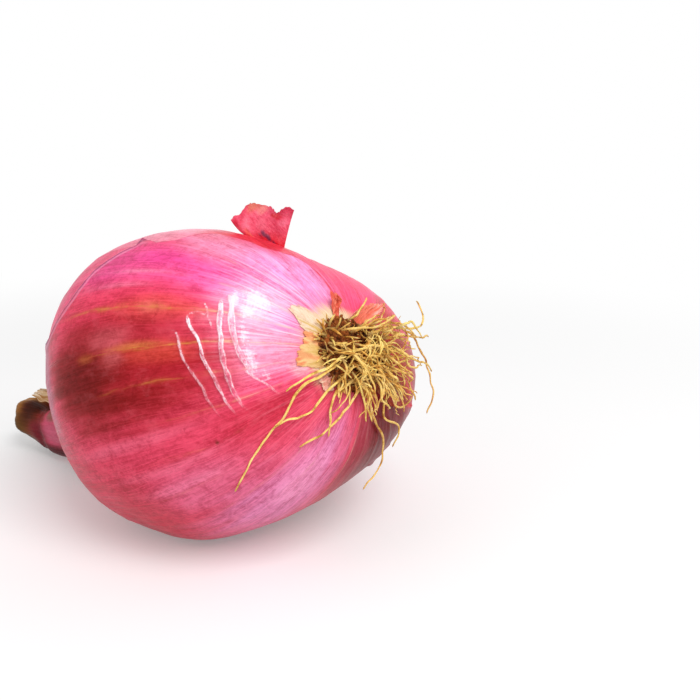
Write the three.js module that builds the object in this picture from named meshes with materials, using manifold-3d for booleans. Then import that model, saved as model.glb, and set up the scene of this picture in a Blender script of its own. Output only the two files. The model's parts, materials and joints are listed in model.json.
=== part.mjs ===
import * as THREE from 'three';
import { mergeVertices } from 'three/addons/utils/BufferGeometryUtils.js';
import Module from 'manifold-3d';

// A large red onion lying on a small flat spot of its belly, root end raised and neck behind.
// Millimetres, +Z up, +X towards the root end, z = 0 on the surface that it lies on.

const { degToRad: deg, lerp, smoothstep, clamp } = THREE.MathUtils;

// ---- Driving dimensions of the bulb -------------------------------------------------------
const ROOT_END_RISE = deg(24.3);
const CENTRE_HEIGHT = 32.0;
const BELLY_RADIUS = 36.4;
const ROOT_HALF = 43.3;
const NECK_HALF = 43.4;
// Powers of the two half profiles: 2 is an ellipse, less is more pointed.
const ROOT_FULLNESS = 2.13;
const NECK_FULLNESS = 1.71;
// The bulb is a little oval and a little three-sided, as a share of its radius.
const OVAL = { share: 0.11, lobes: 2, at: deg(72) };
const THREE_SIDED = { share: 0.065, lobes: 3, at: deg(24) };
// How far the root pole lies off the straight axis: upwards, sideways.
const ROOT_DRIFT = [-2.8, -0.5];

// ---- Neck ---------------------------------------------------------------------------------
const NECK_END = 78.4;
const NECK_BASE_RADIUS = 11.2;
const NECK_TIP_RADIUS = 4.7;
const NECK_TAPER_TO = 78;
const NECK_TAPER_POWER = 1.7;
const NECK_CAP = 3.4;
// The neck joins the bulb in a smooth hollow between these distances behind the centre.
const NECK_BLEND = [8, 32];
const NECK_BLEND_POWER = 3;
// Where the bulb runs out into the neck, the neck is wider by this much.
const NECK_FLARE = 3.6;
const NECK_FLARE_AT = 41;
const NECK_FLARE_REACH = 12;
// The tip is bent this far upwards and sideways.
const NECK_BEND = [9.6, 7.2];
const NECK_BEND_FROM = 40;
const NECK_BEND_POWER = 2.6;
// Between these distances behind the centre the section turns from the bulb's shape to round.
const NECK_ROUND = [30, 50];

// ---- Root plate and roots -----------------------------------------------------------------
// The bulb ends in a flat seat at this distance from its centre, and the plate sits on it.
const SEAT = 42.4;
const GAP = 0.3;
const PLATE_RADIUS = 7.7;
const PLATE_HEIGHT = 1.8;
// The plate's rounded top, as [share of its radius, share of its height].
const PLATE_PROFILE = [[1, 0], [1, 0.33], [0.85, 0.75], [0.5, 0.95], [0, 1]];
const ROOT_RADIUS = 0.26;
// The least distance between the middle lines of two roots.
const ROOT_CLEARANCE = 0.9;

// ---- Fineness -----------------------------------------------------------------------------
const SEGMENTS = 48;
const ROOT_RINGS = 13;
const NECK_RINGS = 26;
const ROOT_SIDES = 6;
const ROOT_STEP = 1.7;
const WELD = 1e-4;

const AXIS = new THREE.Vector3(Math.cos(ROOT_END_RISE), 0, Math.sin(ROOT_END_RISE));
const UP = new THREE.Vector3(-Math.sin(ROOT_END_RISE), 0, Math.cos(ROOT_END_RISE));
const SIDE = new THREE.Vector3(0, -1, 0);
const CENTRE = new THREE.Vector3(0, 0, CENTRE_HEIGHT);
const QUARTER_TURN = Math.PI / 2;
// The distance along the skin from the root pole to the belly.
const QUARTER_ARC = 63;

const wasm = await Module();
wasm.setup();

// ---- Form of the bulb ---------------------------------------------------------------------

function superellipse(along, power) {
  return Math.max(0, 1 - along ** power) ** (1 / power);
}

// How far value is on its way from start to end, from 0 to 1.
function share(value, start, end) {
  return clamp((value - start) / (end - start), 0, 1);
}

function neckRadius(back) {
  const taper = share(back, NECK_HALF, NECK_TAPER_TO) ** NECK_TAPER_POWER;
  const cap = share(back, NECK_END - NECK_CAP, NECK_END);
  const away = share(Math.abs(back - NECK_FLARE_AT), 0, NECK_FLARE_REACH);
  const flare = NECK_FLARE * (1 - away * away) ** 2;
  return lerp(NECK_BASE_RADIUS, NECK_TIP_RADIUS, taper) * Math.sqrt(1 - cap * cap) + flare;
}

// Radius at t, the distance along the axis from the bulb's centre, positive towards the roots.
function radiusAt(t) {
  if (t >= 0) return BELLY_RADIUS * superellipse(share(t, 0, ROOT_HALF), ROOT_FULLNESS);
  const body = BELLY_RADIUS * superellipse(share(-t, 0, NECK_HALF), NECK_FULLNESS);
  const neck = neckRadius(-t) * share(-t, ...NECK_BLEND);
  return (body ** NECK_BLEND_POWER + neck ** NECK_BLEND_POWER) ** (1 / NECK_BLEND_POWER);
}

// How far the middle of the section at t lies off the straight axis: upwards, sideways.
function driftAt(t) {
  const bend = share(-t, NECK_BEND_FROM, NECK_END) ** NECK_BEND_POWER;
  const root = share(t, 0, ROOT_HALF) ** 2;
  return [0, 1].map((k) => ROOT_DRIFT[k] * root + NECK_BEND[k] * bend);
}

function lobe(kind, phi) {
  return kind.share * Math.cos(kind.lobes * (phi - kind.at));
}

// A point at t along the axis and angle phi round it; r is the radius before the ovalness.
function bulbPoint(t, phi, r = radiusAt(t)) {
  const body = 1 - smoothstep(-t, ...NECK_ROUND);
  const wide = r * (1 + body * (lobe(OVAL, phi) + lobe(THREE_SIDED, phi)));
  const [up, side] = driftAt(t);
  return CENTRE.clone()
    .addScaledVector(AXIS, t)
    .addScaledVector(UP, up + wide * Math.cos(phi))
    .addScaledVector(SIDE, side + wide * Math.sin(phi));
}

// The root half as a map: up and side are distances along the skin from the root pole.
function skinAt(up, side) {
  const turn = (Math.hypot(up, side) / QUARTER_ARC) * QUARTER_TURN;
  const t = ROOT_HALF * Math.cos(turn) ** (2 / ROOT_FULLNESS);
  return bulbPoint(t, Math.atan2(side, up));
}

// The point at that place on the map, lifted off the skin.
function overSkin(up, side, lift) {
  const step = 0.05;
  const across = skinAt(up, side + step).sub(skinAt(up, side - step));
  const along = skinAt(up + step, side).sub(skinAt(up - step, side));
  const out = along.cross(across).normalize();
  return skinAt(up, side).addScaledVector(out, lift);
}

// ---- Solids -------------------------------------------------------------------------------

// A copy with shared vertices joined and the triangles that this closes up left out.
function welded(geometry) {
  const bare = geometry.index ? geometry.toNonIndexed() : geometry.clone();
  bare.deleteAttribute('normal');
  bare.deleteAttribute('uv');
  const merged = mergeVertices(bare, WELD);
  const kept = [];
  const index = merged.index.array;
  for (let i = 0; i < index.length; i += 3) {
    const corners = [...index.slice(i, i + 3)];
    if (new Set(corners).size === 3) kept.push(...corners);
  }
  merged.setIndex(kept);
  return merged;
}

function solid(geometry) {
  const merged = welded(geometry);
  const vertProperties = new Float32Array(merged.attributes.position.array);
  const triVerts = new Uint32Array(merged.index.array);
  return new wasm.Manifold(new wasm.Mesh({ numProp: 3, vertProperties, triVerts }));
}

function geometryOf(manifold) {
  const { vertProperties, triVerts } = manifold.getMesh();
  const geometry = new THREE.BufferGeometry();
  geometry.setAttribute('position', new THREE.BufferAttribute(vertProperties, 3));
  geometry.setIndex(new THREE.BufferAttribute(triVerts, 1));
  return geometry;
}

// Moves every vertex of a geometry to place(x, y, z).
function reshaped(geometry, place) {
  const merged = welded(geometry);
  const position = merged.attributes.position;
  for (let i = 0; i < position.count; i += 1) {
    const p = place(position.getX(i), position.getY(i), position.getZ(i));
    position.setXYZ(i, p.x, p.y, p.z);
  }
  return merged;
}

// A lathe about Y whose height is t and whose angle is phi, bent into the bulb's form.
function turned(profile) {
  const lathe = new THREE.LatheGeometry(profile, SEGMENTS);
  return reshaped(lathe, (x, y, z) => bulbPoint(y, Math.atan2(x, z), Math.hypot(x, z)));
}

// The bulb with its neck, cut flat by the ground where it rests.
function bulb() {
  const profile = [new THREE.Vector2(0, -NECK_END)];
  for (let i = 1; i < NECK_RINGS; i += 1) {
    const back = NECK_END * Math.cos((i / NECK_RINGS) * QUARTER_TURN);
    profile.push(new THREE.Vector2(radiusAt(-back), -back));
  }
  const seatTurn = Math.asin(SEAT / ROOT_HALF);
  for (let i = 0; i <= ROOT_RINGS; i += 1) {
    const t = ROOT_HALF * Math.sin((i / ROOT_RINGS) * seatTurn);
    profile.push(new THREE.Vector2(radiusAt(t), t));
  }
  profile.push(new THREE.Vector2(0, SEAT));
  const groundSize = 2 * NECK_END;
  const ground = new THREE.BoxGeometry(groundSize, groundSize, CENTRE_HEIGHT);
  ground.translate(0, 0, -CENTRE_HEIGHT / 2);
  return geometryOf(solid(turned(profile)).subtract(solid(ground)));
}

function rootPlate() {
  const base = SEAT + GAP;
  const top = PLATE_PROFILE.map(([out, up]) => (
    new THREE.Vector2(out * PLATE_RADIUS, base + up * PLATE_HEIGHT)
  ));
  return turned([new THREE.Vector2(0, base), ...top]);
}

// ---- Roots --------------------------------------------------------------------------------

// Routes of the long roots, as [up, side, lift] on the map of the root half.
const LONG_ROOTS = [
  [[-1, 6.4, 2], [-2, 10, 1.7], [-2.8, 13.5, 1.2], [-5.3, 17.2, 0.8], [-9.8, 20.9, 0.8],
    [-13.7, 24.8, 0.8], [-18, 27.6, 0.8], [-24.9, 30.8, 0.9]],
  [[-3.2, 5.4, 2], [-4.6, 9.4, 1.7], [-6.4, 11.4, 1.2], [-8.6, 14.3, 0.8], [-9.3, 19.1, 0.8],
    [-10.3, 22.4, 1]],
  [[0.6, 4.4, 2], [-0.8, 8.2, 1.8], [-1.6, 12.5, 1.4], [-2.9, 16.4, 1], [-3.5, 18.2, 1.2]],
  [[-4.6, 4.2, 2], [-6.6, 8.6, 1.7], [-9, 9.7, 1.2], [-13.5, 11, 0.8], [-15.4, 11.4, 0.9]],
  [[-5.6, 0.6, 2], [-8, 1.6, 1.7], [-11, 0, 1.4], [-14.5, -1.5, 0.9], [-21.5, -7.4, 0.9],
    [-24.9, -10.5, 1.2], [-29.5, -11.5, 2.4], [-33, -8.5, 3.6], [-34.5, -3.5, 4.6]],
  [[-5.2, -4.6, 2], [-8, -7.8, 1.8], [-12.5, -6.4, 1], [-14.2, -5.6, 0.9], [-16.7, -6.9, 0.9],
    [-20.5, -14.6, 1.8], [-25.5, -13.4, 2.6]],
  [[3.6, -4.8, 2.2], [2.6, -9.7, 2.6], [-0.4, -17.5, 2.6], [-4.2, -21.6, 2.6],
    [-9.2, -25.2, 3.4], [-13, -26, 4.4], [-17.5, -24.6, 4.4]],
  [[1, -5.6, 2.2], [0.4, -10, 2.8], [-0.6, -15.5, 3.2], [-1.6, -21.5, 3.8], [-2.2, -25.5, 4.6]],
  [[-0.8, -4, 2.2], [-2, -9, 2.8], [-4.6, -15, 3], [-6.4, -20.5, 3.6], [-8.6, -24, 4]],
  [[-6.4, -2.2, 2], [-9.4, -5.4, 1.6], [-12.4, -8.6, 1.2], [-14.4, -11.6, 1.2],
    [-14.2, -14.1, 1.6], [-12.4, -15.8, 2.2]],
  [[-6.2, 2.4, 2], [-9.4, 5.8, 1.6], [-12.4, 10.6, 0.9], [-14.6, 14.2, 0.8], [-15.6, 17.6, 0.9]],
  [[2.4, -2.6, 2.4], [2.2, -8, 3.6], [1, -14, 4], [0.6, -19.6, 4.6], [1.4, -23.6, 5.2],
    [3.8, -25.4, 5.6], [4.7, -21.4, 6]],
];

// The short roots start in a sunflower pattern on the plate, point outwards and bend with the
// flow, the direction on the map that most of the roots lie in.
const SHORT_ROOTS = 24;
const SHORT_ROOT_LENGTH = [6.5, 15];
const SHORT_ROOT_SWAY = [-2.4, 2.4];
const SHORT_ROOT_LIFTS = { start: 2.1, rise: 2.8, middle: 2.6, end: [1.6, 3.2] };
const RIM_MARGIN = 1;
const FLOW = new THREE.Vector2(-0.75, -0.95);
const FLOW_PULL = 0.75;
// A root that points against the flow is shorter by up to this share.
const FLOW_LENGTH_SHARE = 0.3;
const GOLDEN_ANGLE = Math.PI * (3 - Math.sqrt(5));
// Where a root lies too close to one laid before it, it is raised in steps of this height.
const LIFT_STEP = 0.12;
const LIFT_ROUNDS = 80;

function seededRandom(seed) {
  let state = seed;
  return () => {
    state = (Math.imul(state, 1664525) + 1013904223) >>> 0;
    return state / 2 ** 32;
  };
}

function shortRootRoute(index, random) {
  const spread = (PLATE_RADIUS - RIM_MARGIN) * Math.sqrt((index + 0.5) / SHORT_ROOTS);
  const angle = index * GOLDEN_ANGLE;
  const start = new THREE.Vector2(spread * Math.cos(angle), spread * Math.sin(angle));
  const outward = start.clone().divideScalar(PLATE_RADIUS);
  const heading = outward.addScaledVector(FLOW, FLOW_PULL).normalize();
  const sway = new THREE.Vector2(-heading.y, heading.x);
  sway.multiplyScalar(lerp(...SHORT_ROOT_SWAY, random()));
  const withFlow = 1 - FLOW_LENGTH_SHARE * (1 - heading.dot(FLOW));
  const length = lerp(...SHORT_ROOT_LENGTH, random()) * withFlow;
  const middle = start.clone().addScaledVector(heading, length / 2).add(sway);
  const rise = start.clone().lerp(middle, 0.5);
  const end = start.clone().addScaledVector(heading, length).addScaledVector(sway, -0.4);
  return [
    [...start, SHORT_ROOT_LIFTS.start],
    [...rise, SHORT_ROOT_LIFTS.rise],
    [...middle, SHORT_ROOT_LIFTS.middle],
    [...end, lerp(...SHORT_ROOT_LIFTS.end, random())],
  ];
}

function shortRootRoutes() {
  const random = seededRandom(7);
  return Array.from({ length: SHORT_ROOTS }, (_, index) => shortRootRoute(index, random));
}

// Spaced points of a route, still on the map.
function spacedRoute(route) {
  const curve = new THREE.CatmullRomCurve3(route.map((p) => new THREE.Vector3(...p)));
  const steps = Math.max(4, Math.round(curve.getLength() / ROOT_STEP));
  return curve.getSpacedPoints(steps);
}

// The same path with every stretch cut in three.
function finer(path) {
  return path.flatMap((point, i) => {
    if (i === 0) return [point];
    const before = path[i - 1];
    return [before.clone().lerp(point, 1 / 3), before.clone().lerp(point, 2 / 3), point];
  });
}

// Lays each root over the ones before it: where two are too close, the later one is lifted.
function layRoots(routes) {
  const laid = [];
  return routes.map((route) => {
    const spots = spacedRoute(route);
    const placed = () => spots.map((spot) => overSkin(spot.x, spot.y, spot.z));
    for (let round = 0; round < LIFT_ROUNDS; round += 1) {
      const isClose = (p) => laid.some((q) => p.distanceTo(q) < ROOT_CLEARANCE);
      const tooClose = finer(placed()).map(isClose);
      if (!tooClose.includes(true)) break;
      spots.forEach((spot, i) => {
        const around = tooClose.slice(Math.max(0, 3 * i - 5), 3 * i + 6);
        if (around.includes(true)) spot.z += LIFT_STEP;
      });
    }
    const path = placed();
    laid.push(...finer(path));
    return path;
  });
}

function rootTube(path) {
  const curve = new THREE.CatmullRomCurve3(path);
  const corners = Array.from({ length: ROOT_SIDES }, (_, k) => {
    const angle = (k / ROOT_SIDES) * 2 * Math.PI;
    return new THREE.Vector2(ROOT_RADIUS * Math.cos(angle), ROOT_RADIUS * Math.sin(angle));
  });
  const section = new THREE.Shape(corners);
  return new THREE.ExtrudeGeometry(section, { steps: path.length - 1, extrudePath: curve });
}

// ---- Torn scraps of old skin ----------------------------------------------------------------

const SCRAP_THICKNESS = 0.4;

// Each scrap runs outward from the plate: at is its angle, from and to its distances from the
// pole, widths its widths at even steps, lean how far its end swings round, curl its end's lift.
const COLLAR_SCRAPS = {
  collar_upper: { at: 42, from: 8.6, to: 15.6, widths: [5.4, 7, 6.4, 3], lean: 1.2, curl: 0.2 },
  collar_left: { at: 82, from: 8.6, to: 14.6, widths: [5.2, 6.6, 6.4, 4], lean: 0.5, curl: 0.2 },
  collar_sliver: { at: 349, from: 9, to: 15, widths: [2, 2.2, 1.6, 0.6], lean: -0.6, curl: 2.4 },
  collar_right: { at: 311, from: 9.4, to: 19, widths: [5.4, 5, 4, 1.2], lean: 3.2, curl: 0.9 },
  collar_lower: { at: 124, from: 8.8, to: 12.6, widths: [5.8, 5.6, 4.6, 2], lean: -0.8, curl: 0.3 },
  collar_base: { at: 222, from: 9, to: 20.5, widths: [6, 8.4, 7.4, 3], lean: -1.6, curl: 0.3 },
};

// The value at a place from 0 to 1 among values that are evenly spaced.
function between(values, place) {
  const step = place * (values.length - 1);
  const k = Math.min(values.length - 2, Math.floor(step));
  return lerp(values[k], values[k + 1], step - k);
}

// A unit sheet, whose y runs along its length, x across it and z through it.
function unitSheet(columns, rows) {
  return new THREE.BoxGeometry(1, 1, 1, columns, rows, 1).translate(0, 0.5, 0.5);
}

function collarScrap({ at, from, to, widths, lean, curl }) {
  const outward = new THREE.Vector2(Math.cos(deg(at)), Math.sin(deg(at)));
  const across = new THREE.Vector2(outward.y, -outward.x);
  return reshaped(unitSheet(4, 6), (x, y, z) => {
    const point = outward.clone().multiplyScalar(lerp(from, to, y));
    point.addScaledVector(across, x * between(widths, y) + lean * y ** 2);
    return overSkin(point.x, point.y, GAP + z * SCRAP_THICKNESS + curl * y ** 2);
  });
}

// The flap stands up from the top of the bulb. Its foot follows the skin, and its broad side
// runs along FLAP_FACING, seen from above. Its widths and shifts are given at even heights.
const FLAP_FOOT = [38.4, -4.2];
const FLAP_FACING = new THREE.Vector2(0.75, 0.66);
const FLAP_WIDTHS = [8.6, 12.0, 14.0, 9.4];
const FLAP_SHIFTS = [0.8, -0.6, -0.2, -1.4];
const FLAP_HEIGHT = 7.6;
const FLAP_THICKNESS = 0.5;
const FLAP_LEAN = 1.6;
const FLAP_WAVE = 1.2;
const FLAP_WAVES = 1.2;

function topFlap() {
  const [footUp, footSide] = FLAP_FOOT;
  const [footWidth] = FLAP_WIDTHS;
  const top = overSkin(footUp, footSide, 0).z + FLAP_HEIGHT;
  return reshaped(unitSheet(8, 8), (x, y, z) => {
    const reach = -x * footWidth;
    const foot = overSkin(footUp + reach * FLAP_FACING.x, footSide + reach * FLAP_FACING.y, GAP);
    const spread = x * (between(FLAP_WIDTHS, y) - footWidth) + between(FLAP_SHIFTS, y);
    const wave = FLAP_WAVE * Math.cos(FLAP_WAVES * 2 * Math.PI * x) * y;
    const front = (z - 0.5) * FLAP_THICKNESS - FLAP_LEAN * y - wave;
    return new THREE.Vector3(
      foot.x + FLAP_FACING.x * spread + FLAP_FACING.y * front,
      foot.y + FLAP_FACING.y * spread - FLAP_FACING.x * front,
      lerp(foot.z + GAP, top, y),
    );
  });
}

// A sliver of dry skin that peels off the neck, from its foot near the bulb to its free tip.
// at is its angle, from and to its distances behind the bulb's centre.
const NECK_SCRAP = { at: deg(19), from: 56, to: 69.5, widths: [8, 8, 6.6, 4], curl: 2.6 };

function neckScrap({ at, from, to, widths, curl }) {
  return reshaped(unitSheet(4, 6), (x, y, z) => {
    const t = -lerp(from, to, y);
    const r = radiusAt(t) + GAP + z * SCRAP_THICKNESS + curl * y ** 2;
    return bulbPoint(t, at - (x * between(widths, y)) / r, r);
  });
}

// ---- Assembly -------------------------------------------------------------------------------

const SKIN_RED = 0xb8304f;
const PLATE_BROWN = 0x5a4630;
const ROOT_STRAW = 0xcbb06a;
const SCRAP_TAN = 0xd0a878;
const FLAP_CORAL = 0xd8506a;

const onion = new THREE.Group();

function add(name, geometry, color, roughness = 0.6) {
  const material = new THREE.MeshStandardMaterial({ color, roughness, metalness: 0 });
  const mesh = new THREE.Mesh(geometry, material);
  mesh.name = name;
  onion.add(mesh);
}

function addRoots(prefix, paths) {
  paths.forEach((path, i) => {
    add(`${prefix}_${String(i + 1).padStart(2, '0')}`, rootTube(path), ROOT_STRAW, 0.7);
  });
}

const rootPaths = layRoots([...LONG_ROOTS, ...shortRootRoutes()]);

add('bulb', bulb(), SKIN_RED, 0.35);
add('root_plate', rootPlate(), PLATE_BROWN, 0.95);
addRoots('long_root', rootPaths.slice(0, LONG_ROOTS.length));
addRoots('short_root', rootPaths.slice(LONG_ROOTS.length));
Object.entries(COLLAR_SCRAPS).forEach(([name, spec]) => add(name, collarScrap(spec), SCRAP_TAN));
add('top_flap', topFlap(), FLAP_CORAL);
add('neck_scrap', neckScrap(NECK_SCRAP), SCRAP_TAN);

// The origin is at the middle of the footprint, on the surface that the onion lies on.
const box = new THREE.Box3().setFromObject(onion);
onion.position.set(-(box.min.x + box.max.x) / 2, -(box.min.y + box.max.y) / 2, 0);

export default onion;
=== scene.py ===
"""A large red onion lying on its belly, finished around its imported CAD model.

The form is the same as the CAD part's: a bulb turned about its own axis, with t the distance
along the axis (positive towards the roots), phi the angle round it (0 at the top) and along
the distance over the skin from the root pole. Lengths are millimetres in this script's
formulas, and MM turns them into metres where a mesh, a lamp or the camera is made.
"""
import json
import math
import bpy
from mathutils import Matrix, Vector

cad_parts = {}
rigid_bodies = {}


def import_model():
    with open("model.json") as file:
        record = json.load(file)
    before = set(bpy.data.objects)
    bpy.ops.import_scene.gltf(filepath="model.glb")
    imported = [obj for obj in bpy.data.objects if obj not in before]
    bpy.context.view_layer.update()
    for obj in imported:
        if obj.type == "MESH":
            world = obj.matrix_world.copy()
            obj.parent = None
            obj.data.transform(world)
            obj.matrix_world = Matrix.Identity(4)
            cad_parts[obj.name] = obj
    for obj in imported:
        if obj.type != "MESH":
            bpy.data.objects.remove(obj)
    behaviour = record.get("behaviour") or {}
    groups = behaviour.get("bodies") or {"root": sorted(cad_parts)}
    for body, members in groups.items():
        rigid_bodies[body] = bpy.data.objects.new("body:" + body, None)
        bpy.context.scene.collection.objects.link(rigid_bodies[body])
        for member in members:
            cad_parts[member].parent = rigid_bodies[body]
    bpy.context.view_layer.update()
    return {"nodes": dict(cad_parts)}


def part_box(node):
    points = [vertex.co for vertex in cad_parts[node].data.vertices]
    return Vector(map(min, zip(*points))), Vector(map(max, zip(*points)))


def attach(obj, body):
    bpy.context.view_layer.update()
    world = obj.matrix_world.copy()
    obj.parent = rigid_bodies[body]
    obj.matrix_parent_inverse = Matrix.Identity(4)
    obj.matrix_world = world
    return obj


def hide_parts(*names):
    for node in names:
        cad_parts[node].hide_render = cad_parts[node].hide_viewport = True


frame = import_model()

from types import SimpleNamespace

import bmesh
import bpy
import numpy as np
from mathutils import Matrix, Vector
from mathutils.kdtree import KDTree

MM = 0.001
BODY = "root"

# ---- Form of the bulb, as in the CAD part --------------------------------------------------
ROOT_END_RISE = math.radians(24.3)
CENTRE_HEIGHT = 32.0
BELLY_RADIUS = 36.4
ROOT_HALF = 43.3
NECK_HALF = 43.4
ROOT_FULLNESS = 2.13
NECK_FULLNESS = 1.71
OVAL = (0.11, 2, math.radians(72))
THREE_SIDED = (0.065, 3, math.radians(24))
ROOT_DRIFT = (-2.8, -0.5)
NECK_END = 78.4
NECK_BASE_RADIUS = 11.2
NECK_TIP_RADIUS = 4.7
NECK_TAPER_TO = 78.0
NECK_TAPER_POWER = 1.7
NECK_CAP = 3.4
NECK_BLEND = (8, 32)
NECK_BLEND_POWER = 3
NECK_FLARE = 3.6
NECK_FLARE_AT = 41.0
NECK_FLARE_REACH = 12.0
NECK_BEND = (9.6, 7.2)
NECK_BEND_FROM = 40.0
NECK_BEND_POWER = 2.6
NECK_ROUND = (30, 50)
SEAT = 42.4
QUARTER_ARC = 63.0

AXIS = np.array([math.cos(ROOT_END_RISE), 0.0, math.sin(ROOT_END_RISE)])
UP = np.array([-math.sin(ROOT_END_RISE), 0.0, math.cos(ROOT_END_RISE)])
SIDE = np.array([0.0, -1.0, 0.0])


def share(value, start, end):
    """How far value is on its way from start to end, from 0 to 1."""
    return np.clip((value - start) / (end - start), 0.0, 1.0)


def smooth(value, start, end):
    s = share(value, start, end)
    return s * s * (3 - 2 * s)


def within(value, rises, fades):
    """Rises from 0 to 1 over the first range, and falls back to 0 over the second."""
    return smooth(value, *rises) * (1 - smooth(value, *fades))


def superellipse(along_half, power):
    return np.maximum(0.0, 1 - along_half ** power) ** (1 / power)


def neck_radius(back):
    taper = share(back, NECK_HALF, NECK_TAPER_TO) ** NECK_TAPER_POWER
    cap = share(back, NECK_END - NECK_CAP, NECK_END)
    away = share(np.abs(back - NECK_FLARE_AT), 0, NECK_FLARE_REACH)
    flare = NECK_FLARE * (1 - away ** 2) ** 2
    plain = NECK_BASE_RADIUS + (NECK_TIP_RADIUS - NECK_BASE_RADIUS) * taper
    return plain * np.sqrt(1 - cap ** 2) + flare


def radius_at(t):
    root = BELLY_RADIUS * superellipse(share(t, 0, ROOT_HALF), ROOT_FULLNESS)
    body = BELLY_RADIUS * superellipse(share(-t, 0, NECK_HALF), NECK_FULLNESS)
    neck = neck_radius(-t) * share(-t, *NECK_BLEND)
    blended = (body ** NECK_BLEND_POWER + neck ** NECK_BLEND_POWER) ** (1 / NECK_BLEND_POWER)
    return np.where(t >= 0, root, blended)


def all_round(count):
    return np.arange(count) * 2 * math.pi / count


def lobe(kind, phi):
    size, count, at = kind
    return size * np.cos(count * (phi - at))


def bulb_points(t, phi, radius=None):
    """Points at t and phi, relative to the bulb's centre on the ground below it."""
    t, phi = np.broadcast_arrays(np.asarray(t, float), np.asarray(phi, float))
    radius = radius_at(t) if radius is None else radius
    body = 1 - smooth(-t, *NECK_ROUND)
    wide = radius * (1 + body * (lobe(OVAL, phi) + lobe(THREE_SIDED, phi)))
    bend = share(-t, NECK_BEND_FROM, NECK_END) ** NECK_BEND_POWER
    root = share(t, 0, ROOT_HALF) ** 2
    up = ROOT_DRIFT[0] * root + NECK_BEND[0] * bend + wide * np.cos(phi)
    side = ROOT_DRIFT[1] * root + NECK_BEND[1] * bend + wide * np.sin(phi)
    height = np.array([0.0, 0.0, CENTRE_HEIGHT])
    return t[..., None] * AXIS + up[..., None] * UP + side[..., None] * SIDE + height


# ---- The skin as a map ---------------------------------------------------------------------
# Round the bulb the map's coordinate is phi, and outwards from the root pole it is along.

PROFILE_POINTS = 1600
# The steps round the bulb, in radians, and along it from which a normal is worked out.
NORMAL_TURN = 0.001
NORMAL_STEP = 0.05
# How many parts a smooth path's curve has between two of its points, and its fewest points.
CURVE_PARTS = 12
FEWEST_POINTS = 6
EDGE_SPACING = 0.3


def profile_lengths():
    """Distances along the skin for places on the neck half, as (t, along)."""
    t = np.linspace(0.0, -NECK_END, PROFILE_POINTS)
    steps = np.hypot(np.diff(t), np.diff(radius_at(t)))
    return t, QUARTER_ARC + np.concatenate([[0.0], np.cumsum(steps)])


NECK_T, NECK_ALONG = profile_lengths()
SEAT_ALONG = QUARTER_ARC * math.acos((SEAT / ROOT_HALF) ** (ROOT_FULLNESS / 2)) / (math.pi / 2)
LAST_ALONG = NECK_ALONG[-1]


def t_at(along):
    along = np.asarray(along, float)
    turn = share(along, 0, QUARTER_ARC) * math.pi / 2
    on_root_half = ROOT_HALF * np.cos(turn) ** (2 / ROOT_FULLNESS)
    return np.where(along < QUARTER_ARC, on_root_half, np.interp(along, NECK_ALONG, NECK_T))


def surface(phi, along):
    return bulb_points(t_at(along), phi)


def surface_normal(phi, along):
    across = surface(phi + NORMAL_TURN, along) - surface(phi - NORMAL_TURN, along)
    outwards = surface(phi, along + NORMAL_STEP) - surface(phi, along - NORMAL_STEP)
    normal = np.cross(outwards, across)
    return normal / np.linalg.norm(normal, axis=-1, keepdims=True)


def lifted(phi, along, lift):
    return surface(phi, along) + surface_normal(phi, along) * np.asarray(lift)[..., None]


def between(table, rows, columns, down, across):
    """The table's values between two rows and two columns, given the shares of the second."""
    near, far = (table[row, columns[0]] * (1 - across) + table[row, columns[1]] * across
                 for row in rows)
    return near * (1 - down) + far * down


def skin_noise(phi, along, cells_round, cell_length, seed):
    """Smooth noise from -1 to 1 on the map, with cells_round cells round the bulb."""
    rows = int(LAST_ALONG / cell_length) + 3
    table = np.random.default_rng(seed).uniform(-1, 1, (rows, cells_round))
    column, row = phi / (2 * math.pi) * cells_round, along / cell_length
    i, j = np.floor(column).astype(int), np.floor(row).astype(int)
    columns = (i % cells_round, (i + 1) % cells_round)
    return between(table, (j, j + 1), columns, smooth(row - j, 0, 1), smooth(column - i, 0, 1))


def noises(phi, along, layers, seed=0):
    """The sum of noises given as [height, cells round, cell length, seed]."""
    return sum(height * skin_noise(phi, along, *cells, seed + own_seed)
               for height, *cells, own_seed in layers)


def wave(places, seed, spacing):
    """Smooth noise from -1 to 1 along a line."""
    knots = np.random.default_rng(seed).uniform(-1, 1, int(np.max(places) / spacing) + 3)
    at = places / spacing
    number = np.floor(at).astype(int)
    across = smooth(at - number, 0, 1)
    return knots[number] * (1 - across) + knots[number + 1] * across


def smooth_path(points, step):
    """Evenly spaced points on a smooth curve through the given ones, and how far along they are."""
    padded = np.concatenate([[2 * points[0] - points[1]], points, [2 * points[-1] - points[-2]]])
    parts = []
    for p, q, r, s in zip(padded, padded[1:], padded[2:], padded[3:]):
        f = np.linspace(0, 1, CURVE_PARTS, endpoint=False)[:, None]
        parts.append(0.5 * (2 * q + (r - p) * f + (2 * p - 5 * q + 4 * r - s) * f ** 2
                            + (3 * q - p - 3 * r + s) * f ** 3))
    curve = np.concatenate([*parts, points[-1:]])
    at = np.concatenate([[0], np.cumsum(np.linalg.norm(np.diff(curve, axis=0), axis=1))])
    places = np.linspace(0, at[-1], max(FEWEST_POINTS, int(at[-1] / step)))
    return np.stack([np.interp(places, at, values) for values in curve.T], -1), places


def path_points(path):
    """Points on the skin along a line through corners given as [phi in degrees, along]."""
    corners = np.array(path, float)
    lengths = np.linalg.norm(np.diff(corners * [BELLY_RADIUS * math.pi / 180, 1], axis=0), axis=1)
    at = np.concatenate([[0.0], np.cumsum(lengths)])
    places = np.linspace(0, at[-1], int(at[-1] / EDGE_SPACING) + 2)
    phi = np.radians(np.interp(places, at, corners[:, 0]))
    along = np.interp(places, at, corners[:, 1])
    return surface(phi, along)


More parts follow.
